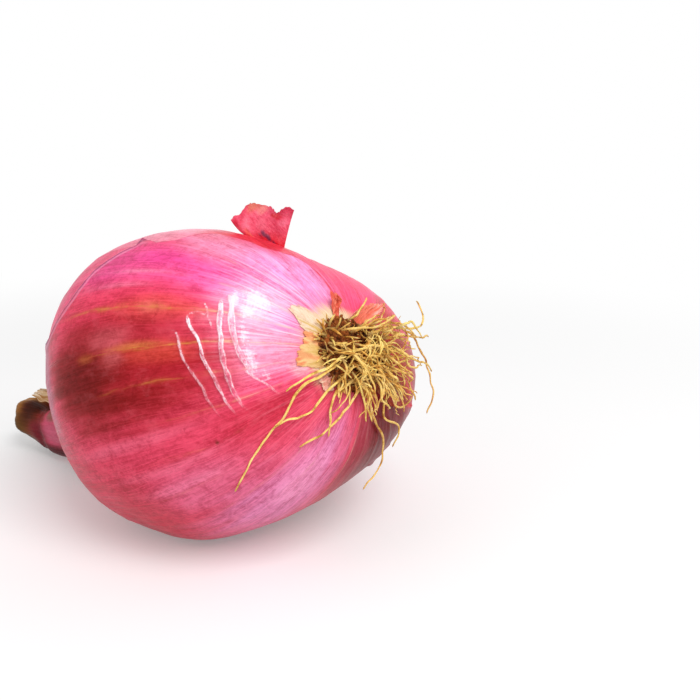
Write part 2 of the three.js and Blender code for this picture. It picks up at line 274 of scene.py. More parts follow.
def nearest(points, path):
    """For each point, the distance to the nearest of the path's points and that one's number."""
    tree = KDTree(len(path))
    for number, point in enumerate(path):
        tree.insert(point, number)
    tree.balance()
    found = [tree.find(point)[1:] for point in points.reshape(-1, 3)]
    numbers, distances = zip(*found)
    shape = points.shape[:-1]
    return np.array(distances).reshape(shape), np.array(numbers).reshape(shape)


def spot_distance(phi, along, middle, half):
    """Distance from a spot at [phi, along], as a share of half its size in [degrees, mm]."""
    off = (np.degrees(phi) - middle[0] + 180) % 360 - 180
    return np.hypot(off / half[0], (along - middle[1]) / half[1])


def in_outline(phi, along, outline):
    """Whether each place lies inside an outline of [phi, along] corners."""
    inside = np.zeros(phi.shape, bool)
    for (phi_1, along_1), (phi_2, along_2) in zip(outline, outline[1:] + outline[:1]):
        if along_1 == along_2:
            continue
        crosses = (along_1 > along) != (along_2 > along)
        edge = phi_1 + (along - along_1) / (along_2 - along_1) * (phi_2 - phi_1)
        inside ^= crosses & (phi < edge)
    return inside


# ---- Marks on the skin ---------------------------------------------------------------------

# Where the outer skin is torn, as [phi, along]. It covers the side towards larger phi.
TEAR = [[-14, 8], [-14, 18], [-12, 23], [-6, 26.5], [-1, 28.4], [5, 28.6], [10, 30.4], [12, 34],
        [15, 39.4], [21, 42.2], [27, 43.6], [29.5, 47.6], [27.5, 51], [25, 54], [31, 52.4],
        [35, 55.4], [41, 58.8], [46, 60.4], [52, 63], [56, 67.4], [58, 73], [55, 84], [46, 96],
        [34, 108]]
# The far edge of the torn patch, on the hidden side.
FAR_TEAR = [[234, 8], [228, 20], [236, 30], [231, 42], [240, 52], [236, 64], [246, 74],
            [252, 86], [268, 97], [286, 108]]
# The map is cut open at this angle, which no torn edge crosses.
MAP_CUT = -60
# The outer skin's thickness, how far over its edge that sets in, and the curl beside the edge.
SKIN_LAYER = 0.24
LAYER_FROM = (-0.25, 0.25)
SKIN_CURL = 0.12
CURL_AT = 0.5
CURL_HALF_WIDTH = 0.6
TORN_FROM = (20, 27)
TORN_UNTIL = (104, 118)

# Creases where the dry skin has buckled: the path, the height, half the width of the flat top
# and how white it is along both its edges, as paler stretched skin and a painted highlight.
CREASES = [
    {"path": [[46.5, 26.3], [50, 26], [54, 25.7], [60, 25.4], [66, 25.1], [72, 24.7], [77, 24.1],
              [82, 23.4], [86, 22.6], [90, 21.9]],
     "height": 0.6, "top": 0.5, "white": 1},
    {"path": [[83, 24.3], [88, 22.8], [93, 21.3], [97, 20.5], [103, 19.4]],
     "height": 0.4, "top": 0.1, "white": 0.4},
    {"path": [[50.5, 27.8], [54, 27.7], [58, 27.5], [64, 27.6], [70, 27.5], [77, 27.7], [84, 27.7],
              [91, 27.6], [97, 27.3], [104, 26.4]],
     "height": 0.55, "top": 0.34, "white": 0.9},
    {"path": [[59, 33.4], [60, 33.8], [62, 33.5], [65, 32.8], [68, 31.9], [70, 31.6], [75, 31.4],
              [79, 31], [83, 30.5], [87, 30.1], [92, 29.9], [97, 29.5], [104, 28.8]],
     "height": 0.5, "top": 0.2, "white": 0.72},
    {"path": [[59.4, 33.6], [58.4, 32.4], [58.4, 31.2], [59.5, 30.1], [61.5, 29.4], [65.5, 29]],
     "height": 0.3, "top": 0.06, "white": 0.7},
    {"path": [[54, 30.8], [56, 30.3], [58.5, 29.9], [61.5, 29.5]],
     "height": 0.3, "top": 0.06, "white": 0.5},
    {"path": [[65, 37], [66.5, 35.9], [70, 35.5], [75, 35.2], [79, 34.6], [83, 33.8], [88, 33.1],
              [95, 32.6], [102, 31.8]],
     "height": 0.35, "top": 0.1, "white": 0.45},
    {"path": [[206, 40], [214, 43], [224, 42], [232, 44.5]],
     "height": 0.4, "top": 0.2, "white": 0.15},
    {"path": [[148, 88], [158, 91], [170, 89], [184, 92]],
     "height": 0.35, "top": 0.3, "white": 0.12},
]
CREASE_STEP = 0.2
# Where a crease falls away, as distances outside its flat top.
CREASE_FLANK = (-0.3, 0.55)
# The shares of a crease's length over which it rises, fades and loses its white.
CREASE_RISES = (0, 0.07)
CREASE_FADES = (0.7, 1)
CREASE_WHITEST = 1.5
CREASE_WHITE_LOSS = 0.85
CREASE_WHITE_FADES = (0.1, 0.6)
# How narrow its top gets at the ends, and how uneven its width and its white are.
CREASE_NARROW = 0.3
CREASE_UNEVEN = 0.5
CREASE_WHITE_UNEVEN = 0.35
CREASE_WAVES = 14
CREASE_SEED = 200
FAR_OUTSIDE = 99.0

# Raised meridian veins: how many go round, where one of them lies, and their half width as a
# share of the distance between two of them.
VEINS = 28
VEIN_AT = math.radians(70)
VEIN_HEIGHT = 0.16
VEIN_HALF_WIDTH = 0.09
VEINS_FROM = (14, 24)
VEINS_UNTIL = (92, 112)
VEIN_STRENGTH = [[0.5, VEINS, 26, 31]]

# The unevenness of the skin, as [height, cells round the bulb, cell length, seed] of each noise.
LUMPY = [[0.32, 9, 17, 3], [0.14, 22, 12, 4], [0.035, 168, 16, 5]]
PLEATS = [[0.3, 30, 14, 6]]
PLEATS_UNTIL = (12, 27)
UNEVEN_FROM = (9, 12)
NECK_FOLDS = [[0.52, 11, 15, 7], [0.28, 24, 10, 8]]
NECK_FOLDS_FROM = (96, 118)
# Towards the tip these folds keep only a part of their height.
TIP_FROM = 146
TIP_LOSS = 0.7
# Dents and swellings: the middle as [phi, along], half the size as [degrees, mm], and the height.
LUMPS = [
    [[128, 68], [30, 17], -1.1],
    [[14, 136], [60, 8], -3.2],
    [[60, 146], [90, 5], 0.6],
    [[135, 136], [40, 9], 0.9],
    [[70, 138.4], [120, 2.2], -0.6],
    [[250, 140], [50, 8], -0.8],
]
LUMP_EDGE = (0.1, 1)


def from_tear(points, phi, along):
    """Distance from the torn edge over the skin, positive on the outer skin."""
    edge = np.concatenate([path_points(TEAR), path_points(FAR_TEAR)])
    distance, _ = nearest(points, edge)
    turned = (np.degrees(phi) - MAP_CUT) % 360 + MAP_CUT
    outer = in_outline(turned, along, TEAR + FAR_TEAR[::-1])
    return np.where(outer, distance, -distance)


def crease_profiles(points):
    """Crease heights in mm, distances outside their flat tops, and paler skin with painted
    highlight.
    """
    height = np.zeros(points.shape[:-1])
    outside = np.full_like(height, FAR_OUTSIDE)
    white = np.zeros_like(height)
    for k, crease in enumerate(CREASES):
        corners, places = smooth_path(np.array(crease["path"], float), CREASE_STEP)
        distance, number = nearest(points, surface(np.radians(corners[:, 0]), corners[:, 1]))
        place = (places / places[-1])[number]
        ends = within(place, CREASE_RISES, CREASE_FADES)
        uneven = wave(CREASE_WAVES * place, CREASE_SEED + k, 1)
        narrowed = CREASE_NARROW + (1 - CREASE_NARROW) * ends
        beyond = distance - crease["top"] * narrowed * (1 + CREASE_UNEVEN * uneven)
        height = np.maximum(height, crease["height"] * (1 - smooth(beyond, *CREASE_FLANK)) * ends)
        fading = CREASE_WHITEST - CREASE_WHITE_LOSS * smooth(place, *CREASE_WHITE_FADES)
        whiteness = crease["white"] * fading * (1 - CREASE_WHITE_UNEVEN * uneven)
        white = np.where(beyond < outside, whiteness * ends, white)
        outside = np.minimum(outside, beyond)
    return height, outside, white


def vein_ribs(phi, along):
    off = np.abs(((phi - VEIN_AT) * VEINS / (2 * math.pi) + 0.5) % 1 - 0.5)
    strength = 0.5 + noises(phi, along, VEIN_STRENGTH)
    fade = within(along, VEINS_FROM, VEINS_UNTIL)
    return VEIN_HEIGHT * np.exp(-(off / VEIN_HALF_WIDTH) ** 2) * strength * fade


def relief(phi, along, tear, crease_height):
    """How far the skin stands off the plain form."""
    layer = SKIN_LAYER * smooth(tear, *LAYER_FROM)
    curl = SKIN_CURL * np.exp(-((tear - CURL_AT) / CURL_HALF_WIDTH) ** 2)
    torn = within(along, TORN_FROM, TORN_UNTIL)
    pleats = noises(phi, along, PLEATS) * (1 - smooth(along, *PLEATS_UNTIL))
    uneven = (noises(phi, along, LUMPY) + pleats) * smooth(along, *UNEVEN_FROM)
    fade = smooth(along, *NECK_FOLDS_FROM) * (1 - TIP_LOSS * smooth(along, TIP_FROM, LAST_ALONG))
    folds = noises(phi, along, NECK_FOLDS) * fade
    return (crease_height + (layer + curl) * torn + vein_ribs(phi, along) + uneven + folds
            + lump_height(phi, along))


def lump_height(phi, along):
    height = np.zeros(np.shape(phi))
    for middle, half, size in LUMPS:
        distance = spot_distance(phi, along, middle, half)
        height = height + size * (1 - smooth(distance, *LUMP_EDGE))
    return height


# ---- Colours -------------------------------------------------------------------------------

ROSE = "D8445F"
CORAL = "FA4A78"
CORAL_RED = "DE3A58"
CRIMSON = "A61A25"
MAROON = "760F0A"
ORANGE = "DC5A38"
MAGENTA = "F2508E"
HOT_PINK = "FB60AC"
LILAC = "FB98D2"
PALE_PINK = "FCA0C4"
GLARE = "FFE4F2"
PINK = "E480AE"
SALMON = "F79FB4"
GREY_LILAC = "B87C98"
DEEP_ROSE = "C42C42"
DARK_RED = "9A1E2C"
TAN = "CBA271"
DARK_BROWN = "220F06"
MAUVE = "D2628E"
FUCHSIA = "E8309A"
CLOUD = "CC6A70"
CLOUD_PINK = "F59AB4"
APRICOT = "E07C68"
WARM_ROSE = "E8749A"
ORCHID = "EC6CB4"
PLUM = "D8407C"
SCARLET = "E02A3C"
SPOT = "6A241A"
GOLD = "C8803C"
BLOOD_AND_SHADE = "701012"
GARNET = "A02438"
POWDER = "F0C8CE"
BRICK_AND_SHADOW = "8A2A22"
CHERRY_AND_SHADE = "D03A4C"
TERRACOTTA = "B4502E"
RASPBERRY = "E24C74"
CHESTNUT = "6A2A14"
FADED_ROSE = "CC5874"
DRIFTWOOD = "7E5844"
OXBLOOD = "5E1A20"
RUSSET = "7A1C18"
CLARET = "74202A"
BRONZE = "94622A"
AMBER = "9C6620"
CREVICE_SHADE = "4A240C"
UMBER = "5E3E18"
HOLLOW_SHADE = "3A1404"
MAHOGANY = "521A0C"

# Soft patches of colour, laid over one another in this order: the middle as [phi, along], half
# the size as [degrees, mm], the colour and the strength.
OUTER_PATCHES = [
    [[14, 21], [50, 15], LILAC, 0.95],
    [[34, 25], [9, 10], LILAC, 0.5],
    [[66, 19], [40, 12], PALE_PINK, 0.85],
    [[98, 19], [12, 11], CORAL, 0.7],
    [[40, 46], [18, 26], MAGENTA, 0.9],
    [[26, 36], [11, 9], PALE_PINK, 0.7],
    [[45, 31], [10, 8], HOT_PINK, 0.6],
    [[37, 44], [5, 10], FUCHSIA, 0.32],
    [[55, 50], [9, 26], CORAL_RED, 0.95],
    [[77, 46], [20, 22], CRIMSON, 1],
    [[72, 40], [5, 12], ORANGE, 0.45],
    [[57, 40], [5, 12], ORANGE, 0.35],
    [[78, 57.5], [14, 11], MAROON, 1],
    [[86, 47], [7, 12], MAROON, 0.4],
    [[67, 50], [5, 6], CLOUD, 0.5],
    [[73, 49.5], [3.5, 3], CLOUD, 0.5],
    [[57, 41], [2.6, 3.4], APRICOT, 0.4],
    [[69.6, 44], [1.4, 7], GOLD, 0.6],
    [[71, 56], [1.6, 2.6], GOLD, 0.5],
    [[44, 48], [1.2, 12], CLOUD_PINK, 0.6],
    [[49, 50], [1.2, 9], CLOUD_PINK, 0.4],
    [[100, 52], [2.4, 16], CLOUD_PINK, 0.35],
    [[111, 48], [2, 18], CLOUD_PINK, 0.4],
    [[119, 50], [2, 16], CLOUD_PINK, 0.35],
    [[18, 42], [7, 6], CLOUD_PINK, 0.7],
    [[8, 31], [6, 8], CORAL_RED, 0.5],
    [[39, 54], [11, 7], PLUM, 0.8],
    [[106, 24], [10, 12], DEEP_ROSE, 0.9],
    [[106, 50], [10, 24], CORAL_RED, 0.4],
    [[123, 43], [11, 15], WARM_ROSE, 0.6],
    [[132, 66], [26, 13], DEEP_ROSE, 0.9],
    [[150, 34], [22, 26], PINK, 1],
    [[150, 32], [11, 9], PALE_PINK, 0.5],
    # Deep red skin on the lower right, darkened further as painted shade where the lamp lights that
    # side.
    [[208, 28], [34, 28], BLOOD_AND_SHADE, 1],
    [[184, 24], [9, 16], GARNET, 0.8],
    [[72, 76], [26, 6], GREY_LILAC, 0.6],
    [[112, 84], [40, 14], DEEP_ROSE, 0.7],
    [[205, 76], [28, 40], DARK_RED, 0.6],
    [[168, 78], [12, 36], PINK, 0.5],
    [[53, 16], [8, 4], ORCHID, 0.75],
    # A painted highlight: the lamp's glare on the lit shoulder, as a pale patch.
    [[48, 21.5], [13, 8], GLARE, 0.45],
    [[74, 22], [15, 3], PALE_PINK, 0.45],
    [[89, 13.4], [8, 2.4], POWDER, 0.7],
    [[109, 35.1], [0.8, 0.5], SPOT, 0.9],
]
# The patches of the skin under the torn outer one, and those of the neck on both.
INNER_PATCHES = [
    [[-45, 30], [50, 40], CORAL, 0.95],
    [[10, 50], [26, 20], SALMON, 0.95],
    [[4, 35], [18, 9], SCARLET, 1],
    [[0, 24], [14, 6], PINK, 0.5],
    # Partly the skin's own red and partly painted shade: a painted shadow on the underside, then
    # darker red in shade.
    [[252, 28], [18, 16], BRICK_AND_SHADOW, 0.9],
    [[287, 22], [12, 8], CHERRY_AND_SHADE, 0.7],
    [[262, 14], [44, 9], TERRACOTTA, 0.9],
    [[42, 64], [20, 12], RASPBERRY, 0.9],
    [[-100, 62], [40, 44], CORAL_RED, 0.75],
    [[-70, 80], [20, 34], HOT_PINK, 0.4],
    [[-128, 52], [16, 30], CRIMSON, 0.75],
    [[-100, 46], [5, 30], PALE_PINK, 0.4],
    [[-82, 60], [12, 22], CRIMSON, 0.6],
    [[-62, 48], [4, 26], CLOUD_PINK, 0.5],
    [[-36, 66], [12, 20], DEEP_ROSE, 0.7],
    [[-10, 70], [4, 24], CLOUD_PINK, 0.45],
    [[20, 92], [40, 18], MAUVE, 0.6],
]
NECK_PATCHES = [
    [[60, 122], [400, 12], DARK_RED, 0.9],
    [[0, 143], [400, 9], CHESTNUT, 1],
    [[200, 124], [80, 12], TAN, 0.6],
    [[90, 132], [36, 7], FADED_ROSE, 1],
    [[58, 131], [12, 3], DRIFTWOOD, 0.8],
    [[128, 135], [16, 14], OXBLOOD, 1],
    [[45, 136.5], [34, 2.6], RUSSET, 1],
    [[96, 140], [34, 5], CLARET, 1],
    [[0, 149], [400, 8], BRONZE, 1],
    [[8, 144.5], [18, 4], AMBER, 0.9],
    # Painted shade: near-black in the crevice between the dry knob and the neck.
    [[72, 143.6], [24, 2.6], CREVICE_SHADE, 0.85],
    [[100, 147], [44, 4.4], UMBER, 0.9],
    # Painted shade: the darkest part of the crevice behind the knob.
    [[40, 141.6], [34, 3.2], HOLLOW_SHADE, 1],
    [[14, 136.6], [16, 3], MAHOGANY, 0.9],
    [[170, 146], [50, 6], DARK_BROWN, 0.6],
    [[0, 154], [400, 4], DARK_BROWN, 0.9],
]
# The two skins' tints: the attribute, the colour under the patches, the patches and a seed.
SKIN_COATS = [["outer_tint", ROSE, OUTER_PATCHES, 41], ["inner_tint", CORAL, INNER_PATCHES, 43]]
NECK_SEED = 45
# The noises that draw out the patches' edges, and where a patch's edge fades, as shares of half
# its size.
PATCH_STREAKS = [[0.6, 84, 24, 0], [0.4, 210, 10, 1]]
PATCH_EDGE = (0.3, 1.3)
NECK_DRAWN_OUT = 0.12
# Painted highlights: the lamp's glare painted white, placed in the same way without a colour.
PAINTED_HIGHLIGHTS = [
    [[46, 21.4], [9, 3.4], 1],
    [[54, 22.6], [6, 2], 0.8],
    [[49, 25.4], [5, 1], 1],
    [[66, 23.2], [9, 1.2], 0.72],
    [[78, 22.6], [9, 1.8], 0.72],
    [[88, 20.6], [5, 1.6], 0.4],
]
HIGHLIGHT_EDGE = (0, 1.3)

# The veins whose gold shows, as [phi, from, to, strength]; on the others it is left to chance.
GOLD_VEINS = [
    [31, 26, 36, 0.5], [44, 12, 34, 0.5], [57, 10, 60, 0.85], [70, 10, 54, 1],
    [83, 10, 54, 0.42], [96, 17, 42, 0.35], [109, 30, 50, 0.2], [121, 40, 60, 0.15],
    [134, 20, 48, 0.3], [147, 20, 40, 0.2],
]
CHANCE_GOLD = 0.75
CHANCE_NOISE = [[1, VEINS, 30, 51]]
CHANCE_FROM = (0.2, 0.9)
GOLD_RISES = (-3, 3)
GOLD_FADES = (-10, 6)


def channels(code):
    """The red, green and blue of a hex colour, from 0 to 1."""
    return np.array([int(code[k:k + 2], 16) for k in (0, 2, 4)]) / 255


def linear(shade):
    """The light that an sRGB channel stands for."""
    shade = np.asarray(shade, float)
    return np.where(shade <= 0.04045, shade / 12.92, ((shade + 0.055) / 1.055) ** 2.4)


def rgba(code):
    return (*linear(channels(code)), 1.0)


def blend(tint, other, weight):
    """Goes from one tint to the other, by a weight for each place."""
    return tint + (other - tint) * weight[..., None]


def painted(tint, phi, along, patches, seed, drawn_out=0.3):
    """The tint with patches laid over it, their edges drawn out into streaks."""
    streak = noises(phi, along, PATCH_STREAKS, seed)
    for middle, half, code, strength in patches:
        distance = spot_distance(phi, along, middle, half) + drawn_out * streak
        tint = blend(tint, channels(code), strength * (1 - smooth(distance, *PATCH_EDGE)))
    return tint


# How strongly the painted highlight shows at each place.
def painted_highlight_amount(phi, along):
    amount = np.zeros(phi.shape)
    for middle, half, strength in PAINTED_HIGHLIGHTS:
        distance = spot_distance(phi, along, middle, half)
        amount = np.maximum(amount, strength * (1 - smooth(distance, *HIGHLIGHT_EDGE)))
    return amount


def gold_amount(phi, along):
    """How golden the nearest vein is at each place, from 0 to 1."""
    amount = CHANCE_GOLD * share(noises(phi, along, CHANCE_NOISE), *CHANCE_FROM)
    for at, start, end, strength in GOLD_VEINS:
        off = (np.degrees(phi) - at + 180) % 360 - 180
        ends = smooth(along - start, *GOLD_RISES) * (1 - smooth(along - end, *GOLD_FADES))
        amount = np.where(np.abs(off) < 180 / VEINS, strength * ends, amount)
    return amount


# ---- Meshes --------------------------------------------------------------------------------

# Edges that turn more than this stay sharp.
SHARP_FROM = math.radians(70)


def new_object(name, points, faces, material):
    mesh = bpy.data.meshes.new(name)
    mesh.from_pydata((np.asarray(points) * MM).tolist(), [], faces)
    mesh.validate()
    mesh.shade_smooth()
    mesh.set_sharp_from_angle(angle=SHARP_FROM)
    mesh.materials.append(material)
    piece = bpy.data.objects.new(name, mesh)
    bpy.context.scene.collection.objects.link(piece)
    return piece


def add_values(piece, name, kind, values):
    """Stores one value, vector or colour (as red, green and blue) for each vertex."""
    if kind == "FLOAT_COLOR":
        opaque = np.ones((*values.shape[:-1], 1))
        values = np.concatenate([linear(values), opaque], -1)
    attribute = piece.data.attributes.new(name, kind, "POINT")
    field = {"FLOAT": "value", "FLOAT_COLOR": "color", "FLOAT_VECTOR": "vector"}[kind]
    attribute.data.foreach_set(field, np.asarray(values, np.float32).ravel())


def grid_faces(rows, columns, closed=True):
    """Quads between the points of a grid, joined round to the first column when closed."""
    row = np.arange(rows - 1)[:, None] * columns
    column = np.arange(columns if closed else columns - 1)[None, :]
    after = (column + 1) % columns
    corners = [row + column, row + after, row + columns + after, row + columns + column]
    return np.stack(np.broadcast_arrays(*corners), -1).reshape(-1, 4).tolist()


def tube_faces(rows, columns):
    """Quads round a tube of rings, with a face over its first ring and its last."""
    last = (rows - 1) * columns
    ends = [list(range(columns))[::-1], list(range(last, last + columns))]
    return grid_faces(rows, columns) + ends


# ---- The bulb ------------------------------------------------------------------------------

SEGMENTS = 336
# Ring spacing, as [from, to, step] along the skin.
RING_STEPS = [[SEAT_ALONG, 10, 0.5], [10, 18, 0.4], [18, 42, 0.22], [42, 66, 0.65],
              [66, 110, 0.9], [110, 150, 0.7]]
# The tip is drawn in to a hollow: how wide its rings are, and how far they go back in.
HOLLOW_RINGS = [[0.86, 0.2], [0.66, 0.9], [0.5, 2.2], [0.36, 3.8], [0.2, 5], [0.06, 5.6]]
# Where the tip's lip starts, and the unevenness of the lip, of the marks' places, of the tear and,
# in degrees, of the grain.
LIP_FROM = (146, 149)
LIP = [[0.8, 13, 60, 13]]
WARP = [[0.16, 90, 3, 11]]
TEAR_RAGS = [[0.25, 150, 2.5, 12]]
GRAIN_WANDER = [[0.9, 40, 12, 14]]
# The skin goes on under the root plate, up to this share of the first ring's radius.
SEAT_RING = 0.3


def ring_places():
    places = [np.arange(start, end, step) for start, end, step in RING_STEPS]
    return np.concatenate(places)


def bulb_offset(points):
    """Moves the form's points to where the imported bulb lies, by the middles of their boxes."""
    low, high = (np.array(corner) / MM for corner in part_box("bulb"))
    middle = (points.reshape(-1, 3).min(0) + points.reshape(-1, 3).max(0)) / 2
    offset = (low + high) / 2 - middle
    return np.array([offset[0], offset[1], 0.0])


def hollow_rings(rim, inward):
    """Rings that run from the neck's rim back into its dry, hollow end."""
    middle = rim.mean(0)
    return [middle + (rim - middle) * width + inward * depth for width, depth in HOLLOW_RINGS]


def bulb_values(phi, along, tear, crease):
    """What the skin's material reads, as [name, kind, values, value in the hollow]."""
    tints = []
    for name, base, patches, seed in SKIN_COATS:
        tint = painted(channels(base), phi, along, patches, seed)
        tint = painted(tint, phi, along, NECK_PATCHES, NECK_SEED, NECK_DRAWN_OUT)
        # Inside the hollow the neck's end is near-black brown, painted shade in the recess.
        tints.append([name, "FLOAT_COLOR", tint, channels(DARK_BROWN)])
    wander = phi + np.radians(noises(phi, along, GRAIN_WANDER))
    grain = np.stack([np.cos(wander), np.sin(wander), along], -1)
    return [
        *tints,
        ["grain", "FLOAT_VECTOR", grain, None],
        ["tear", "FLOAT", tear, None],
        ["crease_outside", "FLOAT", crease[0], FAR_OUTSIDE],
        ["crease_pale_and_highlight", "FLOAT", crease[1], 0],
        ["gold", "FLOAT", gold_amount(phi, along), 0],
        ["painted_highlight", "FLOAT", painted_highlight_amount(phi, along), 0],
    ]


def extended(values, in_hollow):
    """The values with a row for under the plate and rows for the hollow end, which can differ."""
    end = values[-1:] if in_hollow is None else np.broadcast_to(in_hollow, values[-1:].shape)
    return np.concatenate([values[:1], values, np.repeat(end, len(HOLLOW_RINGS), 0)])


def bulb_mesh(material, offset):
    phi, along = np.meshgrid(all_round(SEGMENTS), ring_places())
    seat_ring = surface(phi[0], along[0])
    marked = surface(phi, along + noises(phi, along, WARP))
    tear = from_tear(marked, phi, along) + noises(phi, along, TEAR_RAGS)
    crease_height, *crease = crease_profiles(marked)
    points = lifted(phi, along, relief(phi, along, tear, crease_height))
    lip = smooth(along, *LIP_FROM) * noises(phi, along, LIP)
    points = points - lip[..., None] * AXIS

    seat = [seat_ring * SEAT_RING + seat_ring.mean(0) * (1 - SEAT_RING)]
    points = np.concatenate([seat, points, hollow_rings(points[-1], AXIS)])
    points[..., 2] = np.maximum(points[..., 2], 0)
    faces = tube_faces(len(points), SEGMENTS)
    bulb = new_object("bulb_skin", points.reshape(-1, 3) + offset, faces, material)
    for name, kind, values, in_hollow in bulb_values(phi, along, tear, crease):
        add_values(bulb, name, kind, extended(values, in_hollow))
    return bulb


# ---- Places on the root half -----------------------------------------------------------------
# Here up and side are distances over the skin from the root pole, as in the CAD part.

# A distance from the torn edge that is well on the outer skin.
OUTER_SKIN = 3.0
POLE_GAP = 0.1


def on_skin(phi, along, lift):
    """Places at a height above the skin's own lumps."""
    phi, along = np.broadcast_arrays(np.asarray(phi, float), np.asarray(along, float))
    on_outer_skin = np.full(phi.shape, OUTER_SKIN)
    return lifted(phi, along, lift + relief(phi, along, on_outer_skin, 0))


def over_skin(up, side, lift):
    up, side = np.broadcast_arrays(np.asarray(up, float), np.asarray(side, float))
    return on_skin(np.arctan2(side, up), np.hypot(up, side) + POLE_GAP, lift)


# ---- Roots -----------------------------------------------------------------------------------

# A strand: how its points are spaced, how it thins, how uneven it is, and its furrows.
STRAND_STEP = 0.35
STRAND_SIDES = 8
LONG_ROOT_RADIUS = 0.26
SHORT_ROOT_RADIUS = 0.24
THINNED = 0.4
THINNED_POWER = 1.6
TIP_SHARE = 0.4
UNEVEN = 0.16
UNEVEN_SPACING = 1.6
FURROWS = 3
FURROW_DEPTH = 0.13
FURROW_TWIST = 2
FURROW_SPACING = 6
# Its kinks set in over the first part, and are smaller on a strand thinner than this radius.
FULLY_KINKED = 0.3
KINK = 0.3
KINK_FROM = (0, 3)
KINK_SPACINGS = (2.6, 2.08)
# A direction that no root sets off in.
ASKEW = AXIS + 0.1
# Corners of a packed root's ring lie closer together than this, and its rings further apart.
RING_REACH = 0.55
SAME_CORNER_DIGITS = 2
# Seeds of the random draws, and the steps between those of single strands.
CAD_ROOT_SEED = 20
CAD_ROOT_SEED_STEP = 5
FINE_ROOT_SEED = 100
STRAND_SEED = 1000
STRAND_SEED_STEP = 10


def packed_corners(node):
    """A packed root's corners, each once, and its edges as pairs of their numbers."""
    mesh = bpy.data.objects[node].data
    spots = {}
    number = [spots.setdefault(tuple(np.round(np.array(v.co) / MM, SAME_CORNER_DIGITS)), len(spots))
              for v in mesh.vertices]
    edges = {tuple(sorted((number[a], number[b]))) for a, b in (e.vertices for e in mesh.edges)}
    return np.array(list(spots)), sorted(edges)


def ring_numbers(points, edges):
    """For each corner the number of its ring: short edges join the corners of a ring."""
    ring = list(range(len(points)))

    def first(k):
        while ring[k] != k:
            k = ring[k]
        return k

    for a, b in edges:
        if np.linalg.norm(points[a] - points[b]) < RING_REACH:
            ring[first(a)] = first(b)
    return np.array([first(k) for k in range(len(points))])


def ring_centres(node):
    """The middles of a packed root's rings, in order from the end nearest the plate."""
    points, edges = packed_corners(node)
    rings = ring_numbers(points, edges)
    centres = {r: points[rings == r].mean(0) for r in rings}
    beside = {r: [] for r in centres}
    for a, b in edges:
        if rings[a] != rings[b]:
            beside[rings[a]].append(rings[b])
            beside[rings[b]].append(rings[a])
    plate = np.array(sum(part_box("root_plate"), Vector())) / MM / 2
    ends = [r for r in centres if len(set(beside[r])) == 1]
    order = [min(ends, key=lambda r: np.linalg.norm(centres[r] - plate))]
    while onward := [r for r in beside[order[-1]] if r not in order]:
        order.append(onward[0])
    return np.array([centres[r] for r in order])


def frames_along(path):
    """Two directions across the path at each point, turning as little as they can."""
    tangents = np.gradient(path, axis=0)
    tangents /= np.linalg.norm(tangents, axis=1, keepdims=True)
    across = np.cross(tangents[0], ASKEW)
    firsts = []
    for tangent in tangents:
        across = across - tangent * across.dot(tangent)
        across = across / np.linalg.norm(across)
        firsts.append(across)
    firsts = np.array(firsts)
    return firsts, np.cross(tangents, firsts)


def strand_tube(route, radius, seed):
    """A dried root along the route: points, faces, and (reach, tone, length) at each point."""
    path, places = smooth_path(route, STRAND_STEP)
    kinks = [wave(places, seed + k, spacing)[:, None] for k, spacing in enumerate(KINK_SPACINGS)]
    kink = smooth(places, *KINK_FROM)[:, None] * KINK * min(1, radius / FULLY_KINKED)
    first, second = frames_along(path)
    path = path + kink * (first * kinks[0] + second * kinks[1])
    path[:, 2] = np.maximum(path[:, 2], radius)
    first, second = frames_along(path)
    reach = places / places[-1]
    uneven = 1 + UNEVEN * wave(places, seed + 2, UNEVEN_SPACING)
    thick = radius * (1 - THINNED * reach ** THINNED_POWER) * uneven
    thick[-1] *= TIP_SHARE
    angle = all_round(STRAND_SIDES)
    twist = FURROW_TWIST * wave(places, seed + 3, FURROW_SPACING)[:, None]
    wide = thick[:, None] * (1 + FURROW_DEPTH * np.cos(FURROWS * angle + twist))
    points = path[:, None] + wide[..., None] * (first[:, None] * np.cos(angle)[:, None]
                                                + second[:, None] * np.sin(angle)[:, None])
    tone = np.random.default_rng(seed).uniform(0, 1)
    values = np.stack([reach, np.full_like(reach, tone), places], -1)
    faces = tube_faces(len(path), STRAND_SIDES)
    return points.reshape(-1, 3), faces, np.repeat(values, STRAND_SIDES, 0)


def joined_object(name, parts, material, kind, offset=0.0):
    """One piece from several (points, faces, values); the values become an attribute."""
    points, faces, values, start = [], [], [], 0
    for part_points, part_faces, part_values in parts:
        points.append(part_points)
        faces += [[start + k for k in face] for face in part_faces]
        values.append(part_values)
        start += len(part_points)
    piece = new_object(name, np.concatenate(points) + offset, faces, material)
    add_values(piece, kind, "FLOAT_VECTOR", np.concatenate(values))
    return piece


# The finer roots that the CAD part leaves out, in bundles by where they start: the angle on
# the plate, how far it spreads, how many roots, their lengths, and the turn from straight
# outwards that they set off with.
FINE_ROOTS = {
    "fine_roots_upper": {"at": -95, "spread": 20, "count": 5, "length": (3, 7), "turn": 0},
    "fine_roots_right": {"at": -112, "spread": 40, "count": 34, "length": (7, 15), "turn": 0},
    "fine_roots_lower": {"at": -176, "spread": 56, "count": 18, "length": (4, 10), "turn": 0},
    "fine_roots_left": {"at": 130, "spread": 50, "count": 9, "length": (3, 8), "turn": 0},
    "fine_roots_felt": {"at": 180, "spread": 130, "count": 90, "length": (3.6, 8), "turn": 180},
}
FINE_ROOT_RADII = (0.11, 0.2)
FINE_STEP = 0.9
FINE_FEWEST = 4
# Where they start: how far out on the plate, as a radius and shares of its area, and how high.
FINE_START_RADIUS = 7.4
FINE_START_SHARES = (0.05, 1)
FINE_START_HEIGHT = 1.4
